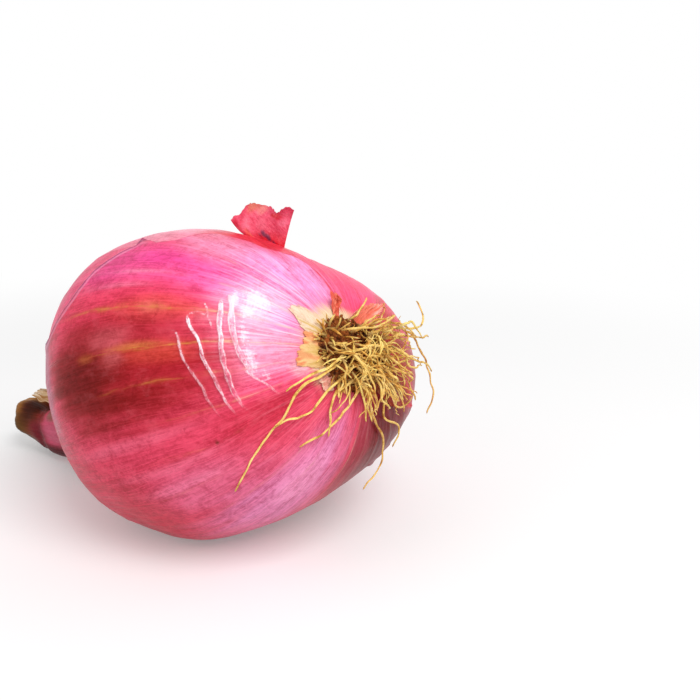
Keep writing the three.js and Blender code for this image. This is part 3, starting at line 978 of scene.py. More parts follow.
# They rise to one of these heights, and from there on go down towards one of the second.
FINE_TOP_HEIGHTS = (2.2, 5)
FINE_TOP_AT = 1 / 1.6
FINE_END_HEIGHTS = (0.7, 2.5)
FINE_SINK = 0.6
# How much their heading and its bend vary, how long a bend lasts, and the flow they turn into.
HEADING_SPREAD = 0.5
BEND_SPREAD = 0.12
BEND_CHANGE = 0.06
BEND_KEPT = 0.8
FLOW_ANGLE = math.radians(-106)
FLOW_PULL = 0.125


def towards(angle):
    return np.array([math.cos(angle), math.sin(angle)])


def wandering_route(random, bundle):
    """The route of a fine root that leaves the plate, rises and wanders with the flow."""
    angle = math.radians(bundle["at"] + random.uniform(-bundle["spread"], bundle["spread"]))
    place = FINE_START_RADIUS * math.sqrt(random.uniform(*FINE_START_SHARES)) * towards(angle)
    heading = angle + math.radians(bundle["turn"]) + random.normal(0, HEADING_SPREAD)
    bend = random.normal(0, BEND_SPREAD)
    rise = random.uniform(*FINE_TOP_HEIGHTS) - FINE_START_HEIGHT
    steps = max(FINE_FEWEST, int(random.uniform(*bundle["length"]) / FINE_STEP))
    route = []
    for f in np.linspace(0, 1, steps):
        height = FINE_START_HEIGHT + rise * math.sin(min(1, f / FINE_TOP_AT) * math.pi / 2)
        height += (random.uniform(*FINE_END_HEIGHTS) - height) * f ** 2 * FINE_SINK
        route.append(over_skin(*place, height))
        bend = BEND_KEPT * bend + random.normal(0, BEND_CHANGE)
        heading += bend + math.sin(FLOW_ANGLE - heading) * FLOW_PULL
        place = place + FINE_STEP * towards(heading)
    return np.array(route)


def fine_root_pieces(material, offset):
    pieces = []
    for number, (name, bundle) in enumerate(FINE_ROOTS.items()):
        random = np.random.default_rng(FINE_ROOT_SEED + number)
        parts = []
        for k in range(bundle["count"]):
            route = wandering_route(random, bundle)
            seed = STRAND_SEED * (number + 1) + STRAND_SEED_STEP * k
            parts.append(strand_tube(route + offset, random.uniform(*FINE_ROOT_RADII), seed))
        pieces.append(joined_object(name, parts, material, "strand"))
    return pieces


def root_pieces(material):
    """A strand for every root of the CAD part, as (piece, node)."""
    nodes = sorted(name for name in frame["nodes"] if "_root_" in name)
    pairs = []
    for number, node in enumerate(nodes):
        radius = LONG_ROOT_RADIUS if node.startswith("long") else SHORT_ROOT_RADIUS
        seed = CAD_ROOT_SEED + CAD_ROOT_SEED_STEP * number
        part = strand_tube(ring_centres(node), radius, seed)
        pairs.append((joined_object(f"{node}_strand", [part], material, "strand"), node))
    return pairs


# ---- Root plate ------------------------------------------------------------------------------

PLATE_RADIUS = 7.9
PLATE_HEIGHT = 1.7
PLATE_GAP = 0.2
PLATE_RINGS = 44
PLATE_SEGMENTS = 120
PLATE_INNERMOST = 0.01
# How the dome falls off towards the rim, and its roughness with it.
DOME_POWER = 3.2
ROUGH_POWER = 6
# The plate's unevenness and its tone, as [height, cell size, seed] of each noise.
PLATE_ROUGH = [[0.55, 2.2, 61], [0.4, 0.9, 62], [0.16, 0.42, 63]]
PLATE_TONE = [[0.5, 1.3, 64]]
# Grains of soil: how far out as shares of the plate's area, their radii and shapes, and how deep
# they sit.
CRUMBS = 320
CRUMB_AREA = (0.02, 1.15)
CRUMB_RADII = (0.18, 0.68)
CRUMB_LUMPS = 0.125
CRUMB_WAVES = 4
CRUMB_STRETCH = (0.6, 1.1)
CRUMB_HEIGHTS = (-0.2, 0.35)
CRUMB_SEED = 65
# Broken root ends, first on the plate and then over its rim. How far out they stand is a draw to
# the given power; outward says whether they lean out, with draws for how far they lean up and to
# any side.
STUBS = [
    {"count": 90, "out": (0.02, 0.95), "power": 0.5, "phi": (0, 2 * math.pi), "foot": 0.9,
     "outward": 0, "up": (0.1, 0.7), "aside": 1, "length": (0.8, 2.6), "radius": (0.14, 0.28)},
    {"count": 44, "out": (0.8, 1), "power": 1, "phi": (0.5, 2.7), "foot": 0.4,
     "outward": 1, "up": (-0.35, 0.2), "aside": 0.3, "length": (0.8, 2.8), "radius": (0.12, 0.24)},
]
STUB_BEND = 1.4
STUB_POINTS = 5
STUB_SEED = 66
STUB_STRAND_SEED = 7000


def plate_point(share_out, phi, height):
    """A place over the seat, with its distance from the axis as a share of the plate's."""
    return bulb_points(SEAT + PLATE_GAP + height, phi, share_out * PLATE_RADIUS)


def plate_noise(share_out, phi, cell, seed):
    """Smooth noise from -1 to 1 over the plate, in cells of the given size in mm."""
    reach = int(PLATE_RADIUS / cell) + 3
    table = np.random.default_rng(seed).uniform(-1, 1, (2 * reach + 2, 2 * reach + 2))
    x = share_out * PLATE_RADIUS * np.cos(phi) / cell + reach
    y = share_out * PLATE_RADIUS * np.sin(phi) / cell + reach
    i, j = np.floor(x).astype(int), np.floor(y).astype(int)
    across, down = smooth(x - i, 0, 1), smooth(y - j, 0, 1)
    return between(table.T, (j, j + 1), (i, i + 1), down, across)


def plate_noises(share_out, phi, layers):
    return sum(height * plate_noise(share_out, phi, *cells) for height, *cells in layers)


def plate_height(share_out, phi):
    dome = PLATE_HEIGHT * (1 - share_out ** DOME_POWER)
    rough = plate_noises(share_out, phi, PLATE_ROUGH) * (1 - share_out ** ROUGH_POWER)
    return np.maximum(0, dome + rough)


def unit_ball():
    ball = bmesh.new()
    bmesh.ops.create_icosphere(ball, subdivisions=2, radius=1)
    points = np.array([v.co for v in ball.verts])
    faces = [[v.index for v in face.verts] for face in ball.faces]
    ball.free()
    return points, faces


def crumb_parts(random):
    """Grains of soil that cling to the plate and between the roots."""
    unit, faces = unit_ball()
    parts = []
    for _ in range(CRUMBS):
        out = math.sqrt(random.uniform(*CRUMB_AREA))
        phi = random.uniform(0, 2 * math.pi)
        smallest, largest = CRUMB_RADII
        size = smallest + (largest - smallest) * random.uniform(0, 1) ** 2
        bumps = np.sin(unit @ random.uniform(-CRUMB_WAVES, CRUMB_WAVES, (3, 3)))
        uneven = 1 + CRUMB_LUMPS * bumps.sum(-1, keepdims=True)
        height = plate_height(min(out, 1.0), phi) + random.uniform(*CRUMB_HEIGHTS)
        grain = unit * uneven * size * random.uniform(*CRUMB_STRETCH, 3)
        tone = random.uniform(0, 1)
        values = np.tile([out, tone, size], (len(grain), 1))
        parts.append((grain + plate_point(out, phi, height), faces, values))
    return parts


def plate_piece(material, offset):
    phi, share_out = np.meshgrid(all_round(PLATE_SEGMENTS),
                                 np.linspace(1, PLATE_INNERMOST, PLATE_RINGS))
    points = plate_point(share_out, phi, plate_height(share_out, phi)).reshape(-1, 3)
    tone = 0.5 + plate_noises(share_out, phi, PLATE_TONE)
    values = np.stack([share_out, tone, np.ones_like(tone)], -1).reshape(-1, 3)
    plate = (points, tube_faces(PLATE_RINGS, PLATE_SEGMENTS), values)
    crumbs = crumb_parts(np.random.default_rng(CRUMB_SEED))
    return joined_object("root_plate_crust", [plate, *crumbs], material, "soil", offset)


def stub_route(random, kind):
    """The places along a broken root end, and its radius."""
    out = random.uniform(*kind["out"]) ** kind["power"]
    phi = random.uniform(*kind["phi"])
    outward = (math.cos(phi) * UP + math.sin(phi) * SIDE) * kind["outward"]
    aside = kind["aside"]
    lean = outward + AXIS * random.uniform(*kind["up"]) + random.uniform(-aside, aside, 3)
    length, radius = random.uniform(*kind["length"]), random.uniform(*kind["radius"])
    bend = random.uniform(-STUB_BEND, STUB_BEND, 3)
    foot = plate_point(out, phi, kind["foot"])
    f = np.linspace(0, 1, STUB_POINTS)[:, None]
    return foot + lean * length * f + bend * f * f, radius


def stub_piece(material, offset):
    """Broken ends of roots that stand up on the plate and lie outwards over its rim."""
    random = np.random.default_rng(STUB_SEED)
    kinds = [kind for kind in STUBS for _ in range(kind["count"])]
    parts = []
    for k, kind in enumerate(kinds):
        route, radius = stub_route(random, kind)
        parts.append(strand_tube(route + offset, radius, STUB_STRAND_SEED + STRAND_SEED_STEP * k))
    return joined_object("root_stubs", parts, material, "strand")


# ---- Torn papery scraps ----------------------------------------------------------------------

STRAW = "D9B25F"
RUST = "C04A24"
WARM_PINK = "E59A8C"
BARK = "8A6238"
PALE_CREAM = "F0D8BE"
DRY_RED = "A23A34"
SHELL = "F2C8AC"
WHEAT = "EBC486"
EMBER = "E87E50"
RED_CLAY = "D05030"
BRIGHT_CORAL = "FA7058"
LIGHT_CORAL = "FF9276"
DULL_CORAL = "E4684A"
SOFT_CORAL = "FF8A74"
TIP_GLINT = "FFD6CC"
HONEY = "B08044"
CARAMEL = "9C6A2C"
IVORY = "EADFCB"
FLAP_ROSE = "DE4464"
FLAP_RED = "DC1E34"
COPPER = "D08A58"
PEACH = "F2A090"
PETAL = "F490A4"
MELON = "F07088"
VERMILION = "D42436"
CARMINE = "CE2240"
LIGHT_ROSE = "F2809A"
TANGERINE = "E2603C"
AUBERGINE = "70264C"
MULBERRY = "8A3450"
CARDINAL = "C41C3A"
SIGNAL_RED = "D01E34"

# The collar's scraps: their inner and torn outer edges as [phi, along] corners, how far they
# rise and how ragged they are. The tints are at the root plate, at the outer end and along the
# torn edges.
COLLAR_SCRAPS = {
    "collar_upper": {"inner": [[31, 7.2], [54, 7.2]],
                     "outer": [[33, 12.8], [35, 14.4], [38, 15.4], [42, 15.6], [45, 14.2],
                               [49, 13.4], [54, 12.4]],
                     "curl": 0.15, "tints": (STRAW, PALE_CREAM, SHELL), "rag": 1.5},
    "collar_left": {"inner": [[52, 7.2], [97, 7.2]],
                    "outer": [[54, 12], [59, 11.6], [66, 12], [73, 13.2], [80, 13.9], [86, 14.3],
                              [90, 12.2], [95, 9.6]],
                    "curl": 0.1, "tints": (STRAW, WHEAT, EMBER), "rag": 1.2},
    "collar_sliver": {"inner": [[3, 8], [14, 8]],
                      "outer": [[0, 12], [1, 13.4], [3, 12.6], [5, 13.6], [8, 11.4]],
                      "curl": 2.4, "tints": (RED_CLAY, BRIGHT_CORAL, LIGHT_CORAL), "rag": 2},
    # collar_right's pale edge tint is a painted glint along its torn edges and tip.
    "collar_right": {"inner": [[-10, 8], [-62, 8]],
                     "outer": [[-22, 9.8], [-39, 12.3], [-54, 14.6], [-63, 17], [-62, 14],
                               [-60, 11]],
                     "curl": 2, "tints": (DULL_CORAL, SOFT_CORAL, TIP_GLINT), "rag": 0.8},
    "collar_lower": {"inner": [[99, 7.4], [125, 7.4]],
                     "outer": [[100, 10.2], [104, 11.6], [111, 11], [117, 11.6], [124, 10.2]],
                     "curl": 0.5, "tints": (BARK, WARM_PINK, PALE_CREAM), "rag": 0.8},
    "collar_base": {"inner": [[200, 7.6], [240, 7.6]],
                    "outer": [[206, 13], [213, 17], [221, 20.6], [229, 22.6], [235, 19],
                              [240, 13]],
                    "curl": 0.6, "tints": (BARK, DRY_RED, RUST), "rag": 2},
}
# Each grid has this many points across its scrap and along it.
COLLAR_GRID = (81, 41)
PAPER_THICKNESS = 0.05
PAPER_GAP = 0.04
PAPER_PLEAT = 0.08
# The waves over a scrap: how far each one's own line runs across the scrap and along it, the
# height, the spacing of its knots, the seed and, if not 0, where the line starts.
TEETH = [[10, 0, 0.5, 0.5, 0], [10, 0, 0.5, 0.18, 1]]
WANDER = [[3, 10, 1.2, 1.3, 2, 0.5]]
PLEAT = [[10, 0, 1, 1, 3]]
BLOTCHES = [[12, 0, 0.25, 2, 7], [0, 12, 0.2, 2.5, 8]]
STRANDS = [[30, 0, 0.3, 0.7, 9]]
STAIN = [[12, 3, 1, 2.2, 10]]
# Where a scrap turns from its inner to its outer edge, and where its tints set in.
TURN_FROM = (-0.3, 1)
TIP_TINT_FROM = (0.05, 0.7)
EDGE_TINT_FROM = (0.8, 1.1)
STAIN_FROM = (0.1, 0.8)
EDGE_TINT = 0.8
EDGE_BLOTCH = 0.4
STAIN_TINT = 0.5


def evenly(values, place):
    return np.interp(place, np.linspace(0, 1, len(values)), values)


def scrap_grid(columns, rows):
    """Places over a scrap: x across it from -0.5 to 0.5, and y from 0 at its foot to 1."""
    return np.meshgrid(np.linspace(-0.5, 0.5, columns), np.linspace(0, 1, rows))


def waves(x, y, rows, seed=0):
    """The sum of the waves over a scrap."""
    return sum(height * wave((x + 0.5) * across + y * along + sum(start), seed + own, spacing)
               for across, along, height, spacing, own, *start in rows)


def paper(name, middle, thickness, shades, material, offset):
    """A closed thin sheet round a grid of points, with a tint and a place for each point."""
    rows, columns = middle.shape[:2]
    down, across = np.gradient(middle, axis=(0, 1))
    normal = np.cross(across, down)
    half = thickness / 2 * normal / np.linalg.norm(normal, axis=-1, keepdims=True)
    points = np.stack([middle + half, middle - half]).reshape(-1, 3)
    front = grid_faces(rows, columns, closed=False)
    count = rows * columns
    back = [[count + k for k in face[::-1]] for face in front]
    rim = [*range(columns - 1), *range(columns - 1, count - 1, columns),
           *range(count - 1, count - columns, -1), *range(count - columns, 0, -columns)]
    hem = [[b, a, count + a, count + b] for a, b in zip(rim, rim[1:] + rim[:1])]
    piece = new_object(name, points + offset, front + back + hem, material)
    add_values(piece, "tint", "FLOAT_COLOR", np.stack([shades, shades]))
    wide = np.linalg.norm(across, axis=-1).cumsum(1)
    long = np.linalg.norm(down, axis=-1).cumsum(0)
    place = np.stack([wide, long, np.zeros_like(wide)], -1)
    add_values(piece, "weave", "FLOAT_VECTOR", np.stack([place, place]))
    return piece


def scrap_shades(x, y, tints, seed):
    """Colours over a scrap: along it, towards its torn edges, and blotched."""
    root, tip, edge = (channels(code) for code in tints)
    blotch, strands = waves(x, y, BLOTCHES, seed), waves(x, y, STRANDS, seed)
    shade = blend(root, tip, smooth(y + blotch + strands, *TIP_TINT_FROM))
    outwards = np.maximum(np.abs(x) * 2, y) + EDGE_BLOTCH * blotch + strands
    rim = EDGE_TINT * smooth(outwards, *EDGE_TINT_FROM)
    stain = STAIN_TINT * smooth(waves(x, y, STAIN, seed), *STAIN_FROM)
    return blend(shade, edge, np.maximum(rim, stain))


def collar_piece(name, scrap, material, offset, seed):
    x, y = scrap_grid(*COLLAR_GRID)
    (start_phi, start_along), (end_phi, end_along) = (
        [evenly(values, x + 0.5) for values in zip(*scrap[edge])] for edge in ("inner", "outer"))
    end_along = end_along - scrap["rag"] * np.abs(waves(x, y, TEETH, seed))
    turn = (end_phi - start_phi) * smooth(y, *TURN_FROM)
    phi = np.radians(start_phi + turn + y * waves(x, y, WANDER, seed))
    along = start_along + (end_along - start_along) * y
    pleat = PAPER_PLEAT * (1 + waves(x, y, PLEAT, seed)) * y
    places = on_skin(phi, along, PAPER_GAP + scrap["curl"] * y ** 2 + pleat)
    shades = scrap_shades(x, y, scrap["tints"], seed)
    return paper(f"{name}_paper", places, PAPER_THICKNESS, shades, material, offset)


# ---- Loose flap on top -----------------------------------------------------------------------

FLAP_FOOT = (37.6, -4.9)
FLAP_FACING = np.array([0.75, 0.66, 0.0])
FLAP_BACK = np.array([0.66, -0.75, 0.0])
FLAP_FOOT_WIDTH = 7.9
FLAP_FOOT_DEPTH = 0.7
WORLD_UP = np.array([0.0, 0.0, 1.0])
LOOSE_THICKNESS = 0.22
FLAP_GRID = (97, 57)
# How far the top leans forward, and how deep and how many its folds are.
FLAP_LEAN = 1.6
FLAP_FOLD = 1.2
FLAP_FOLDS = 1.2
FLAP_NICKS = [[30, 0, 0.2, 0.8, 81]]
FLAP_RIPPLES = [[20, 3, 0.5, 4, 82]]
FLAP_BENDS = [[4, 10, 0.3, 2.4, 83]]
FLAP_BLOTCHES = [[20, 2, 0.5, 2.2, 85], [5, 12, 0.5, 2, 86]]
# How strong the blotches are in the colour and in the marks' edges, and the red of the foot.
BLOTCH_TINT = 0.1
BLOTCH_REACH = 0.35
FOOT_TINT = 0.85
FOOT_TINT_FROM = (0.05, 0.4)
# The flap's torn top edge and its widest part, from left to right, as [across, height] from the
# middle of the foot.
FLAP_TOP = [[-8.15, 4.35], [-7.2, 5.25], [-6.3, 5.35], [-5.5, 6.55], [-4.5, 7.35], [-3.7, 7.6],
            [-2.7, 7.5], [-1, 7.15], [0.2, 6.75], [0.9, 6.25], [1.5, 5.55], [2.6, 6.35],
            [3.6, 7.2], [5.3, 6.5]]
FLAP_MIDDLE = [[-6.3, 2], [-4.9, 2.8], [-1.1, 3.5], [4.3, 3.2]]
# Blushes and stains on the flap: middle (x, y), size, colour and strength. They are drawn out.
MARK_STRETCH = 1.6
MARK_EDGE = (0.3, 1.2)
FLAP_MARKS = [
    [-0.1, 0.93, 0.14, COPPER, 0.6], [0.05, 0.85, 0.1, PEACH, 0.6],
    [-0.2, 0.6, 0.16, PETAL, 0.5], [0.1, 0.5, 0.14, MELON, 0.6],
    [0.28, 0.8, 0.07, VERMILION, 0.85], [-0.46, 0.8, 0.1, CARMINE, 0.7],
    [0.42, 0.55, 0.09, LIGHT_ROSE, 0.7], [-0.28, 0.3, 0.12, TANGERINE, 0.55],
    [0.09, 0.25, 0.06, AUBERGINE, 0.9], [0.16, 0.16, 0.055, AUBERGINE, 0.95],
    [0.23, 0.05, 0.045, AUBERGINE, 0.85], [0.0, 0.24, 0.04, MULBERRY, 0.6],
    [-0.42, 0.6, 0.08, CARDINAL, 0.7], [0.34, 0.7, 0.06, SIGNAL_RED, 0.7],
]


def flap_shades(x, y):
    blotch = waves(x, y, FLAP_BLOTCHES)
    shades = channels(FLAP_ROSE) + BLOTCH_TINT * blotch[..., None]
    shades = blend(shades, channels(FLAP_RED), FOOT_TINT * (1 - smooth(y, *FOOT_TINT_FROM)))
    for at_x, at_y, size, code, strength in FLAP_MARKS:
        distance = np.hypot((x - at_x) / size, (y - at_y) / (MARK_STRETCH * size))
        weight = 1 - smooth(distance + BLOTCH_REACH * blotch, *MARK_EDGE)
        shades = blend(shades, channels(code), strength * weight)
    return np.clip(shades, 0, 1)


def flap_line(x, outline, nicks=0):
    """A line across the flap through an outline's corners."""
    across, height = (evenly(values, x + 0.5) for values in zip(*outline))
    start = over_skin(*FLAP_FOOT, 0)
    return start + across[..., None] * FLAP_FACING + (height + nicks)[..., None] * WORLD_UP


def flap_piece(material, offset):
    x, y = scrap_grid(*FLAP_GRID)
    foot_up, foot_side = (start - x * FLAP_FOOT_WIDTH * facing
                          for start, facing in zip(FLAP_FOOT, FLAP_FACING))
    foot = over_skin(foot_up, foot_side, np.full_like(x, -FLAP_FOOT_DEPTH))
    middle, top = flap_line(x, FLAP_MIDDLE), flap_line(x, FLAP_TOP, waves(x, y, FLAP_NICKS))
    f = y[..., None]
    sheet = foot * (1 - f) * (1 - 2 * f) + middle * 4 * f * (1 - f) + top * f * (2 * f - 1)
    folds = FLAP_FOLD * np.cos(FLAP_FOLDS * 2 * math.pi * x)
    back = y * (waves(x, y, FLAP_RIPPLES) - FLAP_LEAN - folds) + waves(x, y, FLAP_BENDS)
    sheet = sheet + back[..., None] * FLAP_BACK
    return paper("top_flap_paper", sheet, LOOSE_THICKNESS, flap_shades(x, y), material, offset)


# ---- Scrap beside the neck ---------------------------------------------------------------------

# Distances along the bulb's axis behind its middle, widths, and how far it stands off the neck.
NECK_SCRAP = {"at": 19, "from": 56, "to": 69.5, "widths": [8, 8, 6.6, 4], "gap": 0.6, "curl": 2.6,
              "tints": (HONEY, CARAMEL, IVORY)}
NECK_SCRAP_RAGS = [[10, 0, 1.6, 1.2, 91]]
NECK_SCRAP_SIDES = [[0, 10, 0.15, 1.5, 92]]
NECK_SCRAP_SEED = 93
NECK_SCRAP_GRID = (31, 41)


def neck_scrap_piece(material, offset):
    x, y = scrap_grid(*NECK_SCRAP_GRID)
    end = NECK_SCRAP["to"] - np.abs(waves(x, y, NECK_SCRAP_RAGS))
    back = NECK_SCRAP["from"] + (end - NECK_SCRAP["from"]) * y
    radius = radius_at(-back) + NECK_SCRAP["gap"] + NECK_SCRAP["curl"] * y ** 2
    wide = x * evenly(NECK_SCRAP["widths"], y) * (1 + waves(x, y, NECK_SCRAP_SIDES))
    places = bulb_points(-back, math.radians(NECK_SCRAP["at"]) - wide / radius, radius)
    shades = scrap_shades(x, y, NECK_SCRAP["tints"], NECK_SCRAP_SEED)
    return paper("neck_scrap_paper", places, LOOSE_THICKNESS, shades, material, offset)


# ---- Shader building -----------------------------------------------------------------------

class Nodes:
    """The nodes of a material or world, with a short way to add each kind and join it up."""

    def __init__(self, owner, ranges=None):
        owner.use_nodes = True
        self.owner = owner
        self.tree = owner.node_tree
        self.ranges = ranges

    def add(self, kind, inputs=None, **settings):
        node = self.tree.nodes.new(kind)
        for key, value in settings.items():
            setattr(node, key, value)
        for key, value in (inputs or {}).items():
            self.put(value, node.inputs[key])
        return node

    def put(self, value, socket):
        """Joins the value to the socket if it comes from a node, and sets it otherwise."""
        if isinstance(value, bpy.types.NodeSocket):
            self.tree.links.new(value, socket)
        else:
            socket.default_value = value

    def math(self, operation, *values):
        return self.add("ShaderNodeMath", dict(enumerate(values)), operation=operation).outputs[0]

    def times(self, first, *others):
        for other in others:
            first = self.math("MULTIPLY", first, other)
        return first

    def apart(self, a, b):
        """How far two values are apart."""
        return self.math("ABSOLUTE", self.math("SUBTRACT", a, b))

    def attribute(self, name, output="Fac"):
        return self.add("ShaderNodeAttribute", attribute_name=name).outputs[output]

    def parts(self, vector):
        return self.add("ShaderNodeSeparateXYZ", {0: vector}).outputs

    def scaled(self, vector, scale):
        inputs = {0: vector, 1: scale}
        return self.add("ShaderNodeVectorMath", inputs, operation="MULTIPLY").outputs[0]

    def place(self):
        """The place on the object, in millimetres."""
        return self.scaled(self.add("ShaderNodeTexCoord").outputs["Object"], (1 / MM,) * 3)

    def noise(self, vector, scale, detail=2, roughness=0.5, distortion=0):
        inputs = {"Vector": vector, "Scale": scale, "Detail": detail, "Roughness": roughness,
                  "Distortion": distortion}
        return self.add("ShaderNodeTexNoise", inputs).outputs[0]

    def step(self, value, start, end, low=0, high=1):
        """Runs smoothly from low to high while the value goes from start to end."""
        inputs = {"Value": value, "From Min": start, "From Max": end, "To Min": low,
                  "To Max": high}
        return self.add("ShaderNodeMapRange", inputs, interpolation_type="SMOOTHSTEP").outputs[0]

    def ramp(self, value, name):
        """A step with one of the material's named ranges."""
        return self.step(value, *self.ranges[name])

    def mix(self, share_of_b, a, b, blend="MIX"):
        node = self.add("ShaderNodeMix", data_type="RGBA", blend_type=blend)
        for value, socket in zip((share_of_b, a, b), (node.inputs[0], *node.inputs[6:8])):
            self.put(value, socket)
        return node.outputs[2]

    def coats(self, tint, *layers):
        """Lays colours over a tint, each given as (hex code, strength)."""
        for code, strength in layers:
            tint = self.mix(strength, tint, rgba(code))
        return tint

    def bump(self, height, strength, distance, normal=None):
        inputs = {"Height": height, "Strength": strength, "Distance": distance * MM}
        if normal is not None:
            inputs["Normal"] = normal
        return self.add("ShaderNodeBump", inputs).outputs[0]

    def finish(self, shader):
        output = self.add("ShaderNodeOutputMaterial")
        self.tree.links.new(shader, output.inputs["Surface"])
        return self.owner

    def principled(self, colour, roughness, normal, gloss):
        inputs = {"Base Color": colour, "Roughness": roughness, "Normal": normal, **gloss}
        return self.finish(self.add("ShaderNodeBsdfPrincipled", inputs).outputs[0])


def new_material(name, ranges=None):
    n = Nodes(bpy.data.materials.new(name), ranges)
    n.tree.nodes.clear()
    return n


# ---- Onion skin ----------------------------------------------------------------------------

# The skin's noises: how much each axis is stretched (the third runs along the skin), the scale,
# the detail, the roughness and the distortion.
SKIN_NOISES = {
    "bands": [(1, 1, 0.05), 0.4, 3, 0.55],
    "streaks": [(1, 1, 0.06), 1.3, 4, 0.65],
    "fibres": [(1, 1, 0.09), 2.8, 4, 0.7],
    "hoops": [(0.18, 0.18, 1), 2.4, 3, 0.65],
    "clouds": [(1, 1, 1), 0.26, 5, 0.7, 1],
    "blotches": [(1, 1, 0.7), 0.3, 5, 0.72, 0.2],
    "mottle": [(1, 1, 1), 1.3, 4, 0.75],
    "threads": [(1, 1, 0.03), 0.8],
    "crooked": [(1, 1, 0.3), 0.35, 3, 0.6],
    "worn": [(1, 1, 0.1), 1.3, 4, 0.7],
    "patchy": [(1, 1, 1), 0.3, 4, 0.7],
}
# How strongly a noise lightens and darkens the skin, and how far from its middle it has to be.
SKIN_LAYERS = {
    "bands": (0.4, 0.4, 0.18), "streaks": (0.75, 0.26, 0.16), "fibres": (0.85, 0.22, 0.14),
    "clouds": (0.6, 0.55, 0.17), "blotches": (0.3, 0.3, 0.15), "mottle": (0.5, 0.14, 0.16),
}
NOISE_MIDDLE = 0.5
# The ranges over which something sets in: from, to and, if not 0 and 1, the strengths there.
SKIN_RANGES = {
    # Places, in millimetres from the root pole.
    "soft tear": (27, 20), "neck": (126, 138, 0, 0.7), "specked": (42, 50, 0, 0.25),
    "whitish": (36, 13), "pale veins": (34, 24), "left edge": (49, 53), "top edge": (44, 40),
    "collar": (16.5, 13), "dry collar": (14.5, 11.5),
    # Millimetres from the torn edge, from the edge's line and from the creases' flat tops.
    "torn": (-0.06, 0.06), "softly torn": (-5, 3), "edge": (0.6, 0.2), "beside": (0.5, 0.1),
    "crease line": (0.16, 0.03), "crease top": (0.3, -0.1),
    # Shares of the distance between two veins.
    "vein core": (0.045, 0.005), "vein band": (0.13, 0.02),
    # The cosine of the angle from the middle of the lit shoulder.
    "shoulder": (0.7, 0.93, 0.08, 0.65), "lit": (0, 0.6), "unlit": (0.5, 0),
    # Values of the noises.
    "haze": (0.5, 0.68, 0, 0.5), "specks": (0.48, 0.36), "thread": (0.016, 0.003),
    "white streaks": (0.48, 0.66), "crooked": (0.2, 0.8, -0.05, 0.05),
    "gold patches": (0.36, 0.6, 0.25, 1), "worn core": (0.42, 0.62),
    "worn band": (0.38, 0.62, 0.15, 1), "frayed": (0.3, 0.7, -0.05, 0.05),
    "jagged": (0.3, 0.7, -0.1, 0.1), "broken": (0.42, 0.56), "broken line": (0, 1, 0.3, 0.95),
    "edge clouds": (0.3, 0.6, 0.45, 0.9), "straw": (0.54, 0.36, 0, 0.7),
    "roughness": (0.3, 0.7, 0.27, 0.4),
    # Values of the skin's own attributes.
    "whitest": (0.95, 1.4), "wrinkled": (2.35, 3.2), "painted_highlight": (0.02, 0.3),
}
DEEPER = (0.66, 0.38, 0.44, 1)
BRIGHTER = (1.22, 1.4, 1.34, 1)
PALER = (0.024, 0.006, 0.011, 1)
HAZE = (0.13, 0.035, 0.04, 1)
THREAD_STRENGTH = 0.5
SHOULDER_AT = math.radians(40)
STREAK_WHITE = "FFE2EE"
# A vein's band and core: the strength, and the colours on the belly and near the roots.
VEIN_BAND = (0.5, "BE642C", "F6B48C")
VEIN_CORE = (0.55, "DC9A4A", "FFE6BE")
CREASE_PINK = "F58FB0"
CREASE_PALE = "FFDCE9"
CREASE_WHITE = "FFEFF5"
CREASE_PINK_STRENGTH = 0.4
CREASE_PALE_STRENGTH = 0.55
# How much each noise breaks up the painted highlight.
HIGHLIGHT_BREAKS = {"hoops": 1, "streaks": 1.8, "mottle": 1.6}
HIGHLIGHT_WHITE = "FFEAF6"
HIGHLIGHT_STRENGTH = 0.85
# The middles of the torn edge's line and of the paler one beside it, in mm on the outer skin.
EDGE_AT = 0.3
BESIDE_AT = 1.2
EDGE_RED = "E0243C"
# The purple line is partly painted shadow under the lifted edge; the lilac beside it is a painted
# highlight.
EDGE_SHADOW_PURPLE = "7E2A66"
BESIDE_HIGHLIGHT_LILAC = "F2B4D4"
BESIDE_HIGHLIGHT_STRENGTH = 0.35
FRINGE = 8
# The dry collar's colours: cream and straw on its lit side as painted light, rust on its unlit side
# as painted shade.
COLLAR_LIT_CREAM = "F0DCB8"
COLLAR_STRAW = "C89A58"
COLLAR_SHADE_RUST = "8E3A26"
SHADE_RUST_STRENGTH = 0.7
RIBS = {"fibres": 0.3, "streaks": 0.7}
RIB_BUMP = (0.16, 0.12)
PORE_BUMP = (0.15, 0.08)
SKIN_GLOSS = {"Coat Weight": 0.05, "Coat Roughness": 0.12, "Specular IOR Level": 0.05}


def skin_values(n):
    """What the parts of the skin's shader share: places, distances and noises."""
    grain = n.attribute("grain", "Vector")
    east, north, along = n.parts(grain)
    round_it = n.scaled(grain, (BELLY_RADIUS, BELLY_RADIUS, 1))
    angle = n.math("ARCTAN2", north, east)
    shoulder = n.math("COSINE", n.math("SUBTRACT", angle, SHOULDER_AT))
    textures = {name: n.noise(n.scaled(round_it, stretch), *settings)
                for name, (stretch, *settings) in SKIN_NOISES.items()}
    return SimpleNamespace(along=along, angle=angle, shoulder=shoulder, tear=n.attribute("tear"),
                           **textures)


